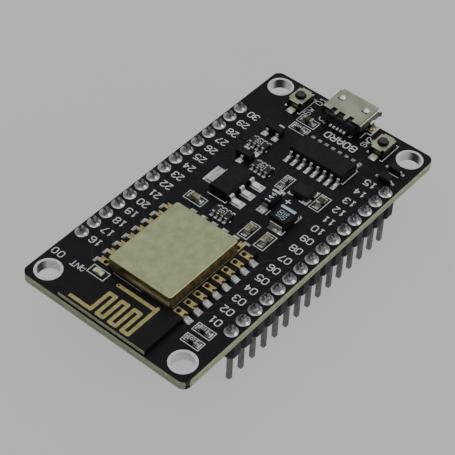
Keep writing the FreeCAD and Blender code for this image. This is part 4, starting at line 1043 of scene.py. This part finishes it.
def add_fillet(mesh, foot, way, width, height, reach, flare=1.25, low=PAD_TOP):
    """A hollow ramp of solder from a metal end, at foot, down to the pad along way."""
    way = Vector(way).normalized()
    side = Vector((-way.y, way.x))
    steps = 5
    crest, toe = [], []
    for step in range(steps + 1):
        share = step / steps
        out = reach * share
        level = height * (1 - math.sin(share * math.pi / 2)) + 0.012
        half = width / 2 * (1 + (flare - 1) * share)
        spot = Vector(foot) + way * out
        crest.append([mesh.verts.new((*(spot + side * half * end), low + level)) for end in (-1, 1)])
        toe.append([mesh.verts.new((*(spot + side * half * end), low)) for end in (-1, 1)])
    for step in range(steps):
        a, b, c, d = crest[step], crest[step + 1], toe[step], toe[step + 1]
        mesh.faces.new((a[0], b[0], b[1], a[1]))
        mesh.faces.new((c[0], c[1], d[1], d[0]))
        mesh.faces.new((a[0], c[0], d[0], b[0]))
        mesh.faces.new((a[1], b[1], d[1], c[1]))
    mesh.faces.new((crest[0][0], crest[0][1], toe[0][1], toe[0][0]))
    mesh.faces.new((crest[-1][0], toe[-1][0], toe[-1][1], crest[-1][1]))


def outward(low, high, body_middle, axis=None):
    """The way a terminal faces, the middle of its outer end and its width.

    It faces away from its body along x or y, whichever is further, unless an axis is given.
    """
    middle = ((low + high) / 2).to_2d()
    step = middle - body_middle
    if axis is None:
        axis = 0 if abs(step.x) > abs(step.y) else 1
    way, foot = Vector((0, 0)), middle.copy()
    way[axis] = math.copysign(1, step[axis])
    foot[axis] = (high if way[axis] > 0 else low)[axis]
    return way, foot, (high - low)[1 - axis]


def nearest(spots, low, high):
    """The spot closest to a terminal's middle."""
    middle = ((low + high) / 2).to_2d()
    return min(spots, key=lambda spot: (spot - middle).length)


def solder_chips():
    """Fillets at the plated ends of every small chip."""
    mesh = bmesh.new()
    groups = (("chip_capacitor", 0.42, 0.34), ("chip_resistor", 0.3, 0.34), ("tantalum", 0.3, 0.5))
    for kind, height, reach in groups:
        middles = plan_centres("tantalum_body" if kind == "tantalum" else kind + "_bodies")
        for low, high in solids_of(kind + "_terminals"):
            way, foot, width = outward(low, high, nearest(middles, low, high))
            add_fillet(mesh, foot, way, width - 0.04, height, reach, 1.08)
    middles = plan_centres("resistor_array_bodies")
    for low, high in solids_of("resistor_array_terminals"):
        way, foot, _ = outward(low, high, nearest(middles, low, high), X)
        add_fillet(mesh, foot, way, 0.4, 0.26, 0.26, 1.1)
    finish_piece("chip_solder_fillets", mesh, "dull_land", smooth=True)


def solder_leads():
    """Fillets at the toes of the gull-wing leads."""
    mesh = bmesh.new()
    groups = (("usb_bridge_leads", "usb_bridge_body", X, 0.36, 0.14, 0.5),
              ("regulator_leads", "regulator_body", Y, 0.9, 0.2, 0.3),
              ("regulator_tab", "regulator_body", Y, 3.2, 0.2, 0.35),
              ("left_transistor_leads", "left_transistor_body", X, 0.5, 0.12, 0.3),
              ("right_transistor_leads", "right_transistor_body", X, 0.5, 0.12, 0.3),
              ("diode_leads", "diode_body", X, 1.0, 0.14, 0.5))
    for leads, package, axis, width, height, reach in groups:
        middle = centre(package).to_2d()
        for low, high in solids_of(leads):
            way, foot, _ = outward(low, high, middle, axis)
            add_fillet(mesh, foot, way, width, height, reach, 1.2)
    for button in ("boot_button_leads", "reset_button_leads"):
        middle = centre(button).to_2d()
        for low, high in solids_of(button):
            way, foot, width = outward(low, high, middle)
            add_fillet(mesh, foot, way, width, 0.16, 0.26, 1.15)
    finish_piece("lead_solder_fillets", mesh, "land", smooth=True)


def solder_socket():
    """Solder and amber flux round the socket's two front feet."""
    mesh = bmesh.new()
    middle = centre("usb_shell").y
    front, out = 27.85, 3.9
    squash, ripple, sides = 0.8, 0.06, 18
    profile = ((0.74, 0.012), (0.68, 0.14), (0.52, 0.28), (0.26, 0.36))
    for side in (-1, 1):
        foot = Vector((front, middle + side * out))
        rings = [add_ring(mesh, foot, radius, squash * radius, PAD_TOP + level, sides, ripple, side)
                 for radius, level in profile]
        loft(mesh, rings)
        mesh.faces.new(rings[-1])
        mesh.faces.new(rings[0])
    finish_piece("socket_foot_solder", mesh, "flux", smooth=True)


solder_chips()
solder_leads()
solder_socket()


# ---------------------------------------------------------------- fine metalwork

def press_latch_springs():
    """The two spring tongues in the socket's roof, each pressed up into an oval bump."""
    mesh = bmesh.new()
    shell_tall, bump_x, bump_out, clear = 2.46, 28.2, 2.3, 0.005
    roof = PAD_TOP + shell_tall
    middle = centre("usb_shell").y
    long, wide, tall, steps, sides = 0.60, 0.5, 0.3, 8, 24
    for side in (-1, 1):
        spot = Vector((bump_x, middle + side * bump_out))
        rings = []
        for step in range(steps):
            climb = step / steps * math.pi / 2
            swell, level = math.cos(climb), roof + clear + tall * math.sin(climb)
            rings.append(add_ring(mesh, spot, long * swell, wide * swell, level, sides))
        loft(mesh, rings)
        mesh.faces.new(rings[0])
        mesh.faces.new(rings[-1])
    finish_piece("latch_springs", mesh, "spring", smooth=True)


def seat_snap_domes():
    """Each button's snap dome, a thin curved shell in place of the CAD dome; in the switch it flattens
    under the plunger's nub as the button is pressed, but this shell keeps its shape.
    """
    steps, sides, skin, pressed_share = 8, 32, 0.06, 0.4
    for button in ("boot_button", "reset_button"):
        low, high = millimetres(button + "_dome")
        middle, rise, reach = (low + high) / 2, high.z - low.z, (high.x - low.x) / 2
        ball = (reach ** 2 + rise ** 2) / (2 * rise)
        mesh = bmesh.new()
        rims = []
        for drop in (0.0, skin):
            rings = []
            for step in range(steps):
                radius = (reach - drop) * (1 - step / steps)
                level = max(0.0, math.sqrt(ball ** 2 - radius ** 2) - ball + rise - drop)
                rings.append(add_ring(mesh, middle, radius, radius, low.z + level, sides))
            loft(mesh, rings)
            crown = mesh.verts.new((middle.x, middle.y, high.z - drop))
            for step in range(sides):
                mesh.faces.new((rings[-1][step], rings[-1][(step + 1) % sides], crown))
            rims.append(rings[0])
        loft(mesh, rims)
        dome = finish_piece(button + "_snap", mesh, "steel", smooth=True)
        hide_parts(button + "_dome")
        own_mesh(dome)


press_latch_springs()
seat_snap_domes()


# ---------------------------------------------------------------- stage, light and camera

def add_floor():
    mesh = bmesh.new()
    reach = 1.6
    level = CAD_BOX[0][2]
    mesh.faces.new([mesh.verts.new((x * reach, y * reach, level))
                    for x, y in ((-1, -1), (1, -1), (1, 1), (-1, 1))])
    data = bpy.data.meshes.new("floor")
    mesh.to_mesh(data)
    mesh.free()
    data.materials.append(floor_look())
    floor = bpy.data.objects.new("floor", data)
    bpy.context.scene.collection.objects.link(floor)


def add_softbox(name, place, size, watts, colour=(1, 1, 1)):
    light = bpy.data.lights.new(name, "AREA")
    light.shape = "RECTANGLE"
    light.size, light.size_y = size
    light.energy = watts
    light.color = colour
    lamp = bpy.data.objects.new(name, light)
    lamp.location = place
    lamp.rotation_euler = (-Vector(place)).to_track_quat("-Z", "Y").to_euler()
    bpy.context.scene.collection.objects.link(lamp)


def add_world(brightness):
    world = bpy.data.worlds.new("studio")
    world.use_nodes = True
    background = world.node_tree.nodes["Background"]
    background.inputs["Color"].default_value = (1.0, 1.0, 1.0, 1)
    background.inputs["Strength"].default_value = brightness
    bpy.context.scene.world = world


def add_camera():
    """A long lens above the near left corner, rolled slightly."""
    place = Vector((-0.12381, -0.09579, 0.16212))
    target = Vector((-0.00315, -0.00101, 0.00160))
    data = bpy.data.cameras.new("camera")
    data.sensor_width = 36.0
    data.lens = 121.79
    data.clip_start, data.clip_end = 0.01, 10.0
    camera = bpy.data.objects.new("camera", data)
    aim = (target - place).to_track_quat("-Z", "Y").to_matrix().to_4x4()
    roll = Matrix.Rotation(math.radians(2.6), 4, "Z")
    camera.matrix_world = Matrix.Translation(place) @ aim @ roll
    bpy.context.scene.collection.objects.link(camera)
    bpy.context.scene.camera = camera


add_floor()
add_world(0.30)
add_softbox("overhead", (-0.1, 0.1, 1.0), (0.9, 0.9), 3.8)
add_softbox("back_panel", (0.75, 0.6, 0.95), (1.0, 1.0), 1.4)
add_softbox("side_panel", (0.35, -0.75, 0.45), (0.6, 0.5), 3.8)
add_camera()
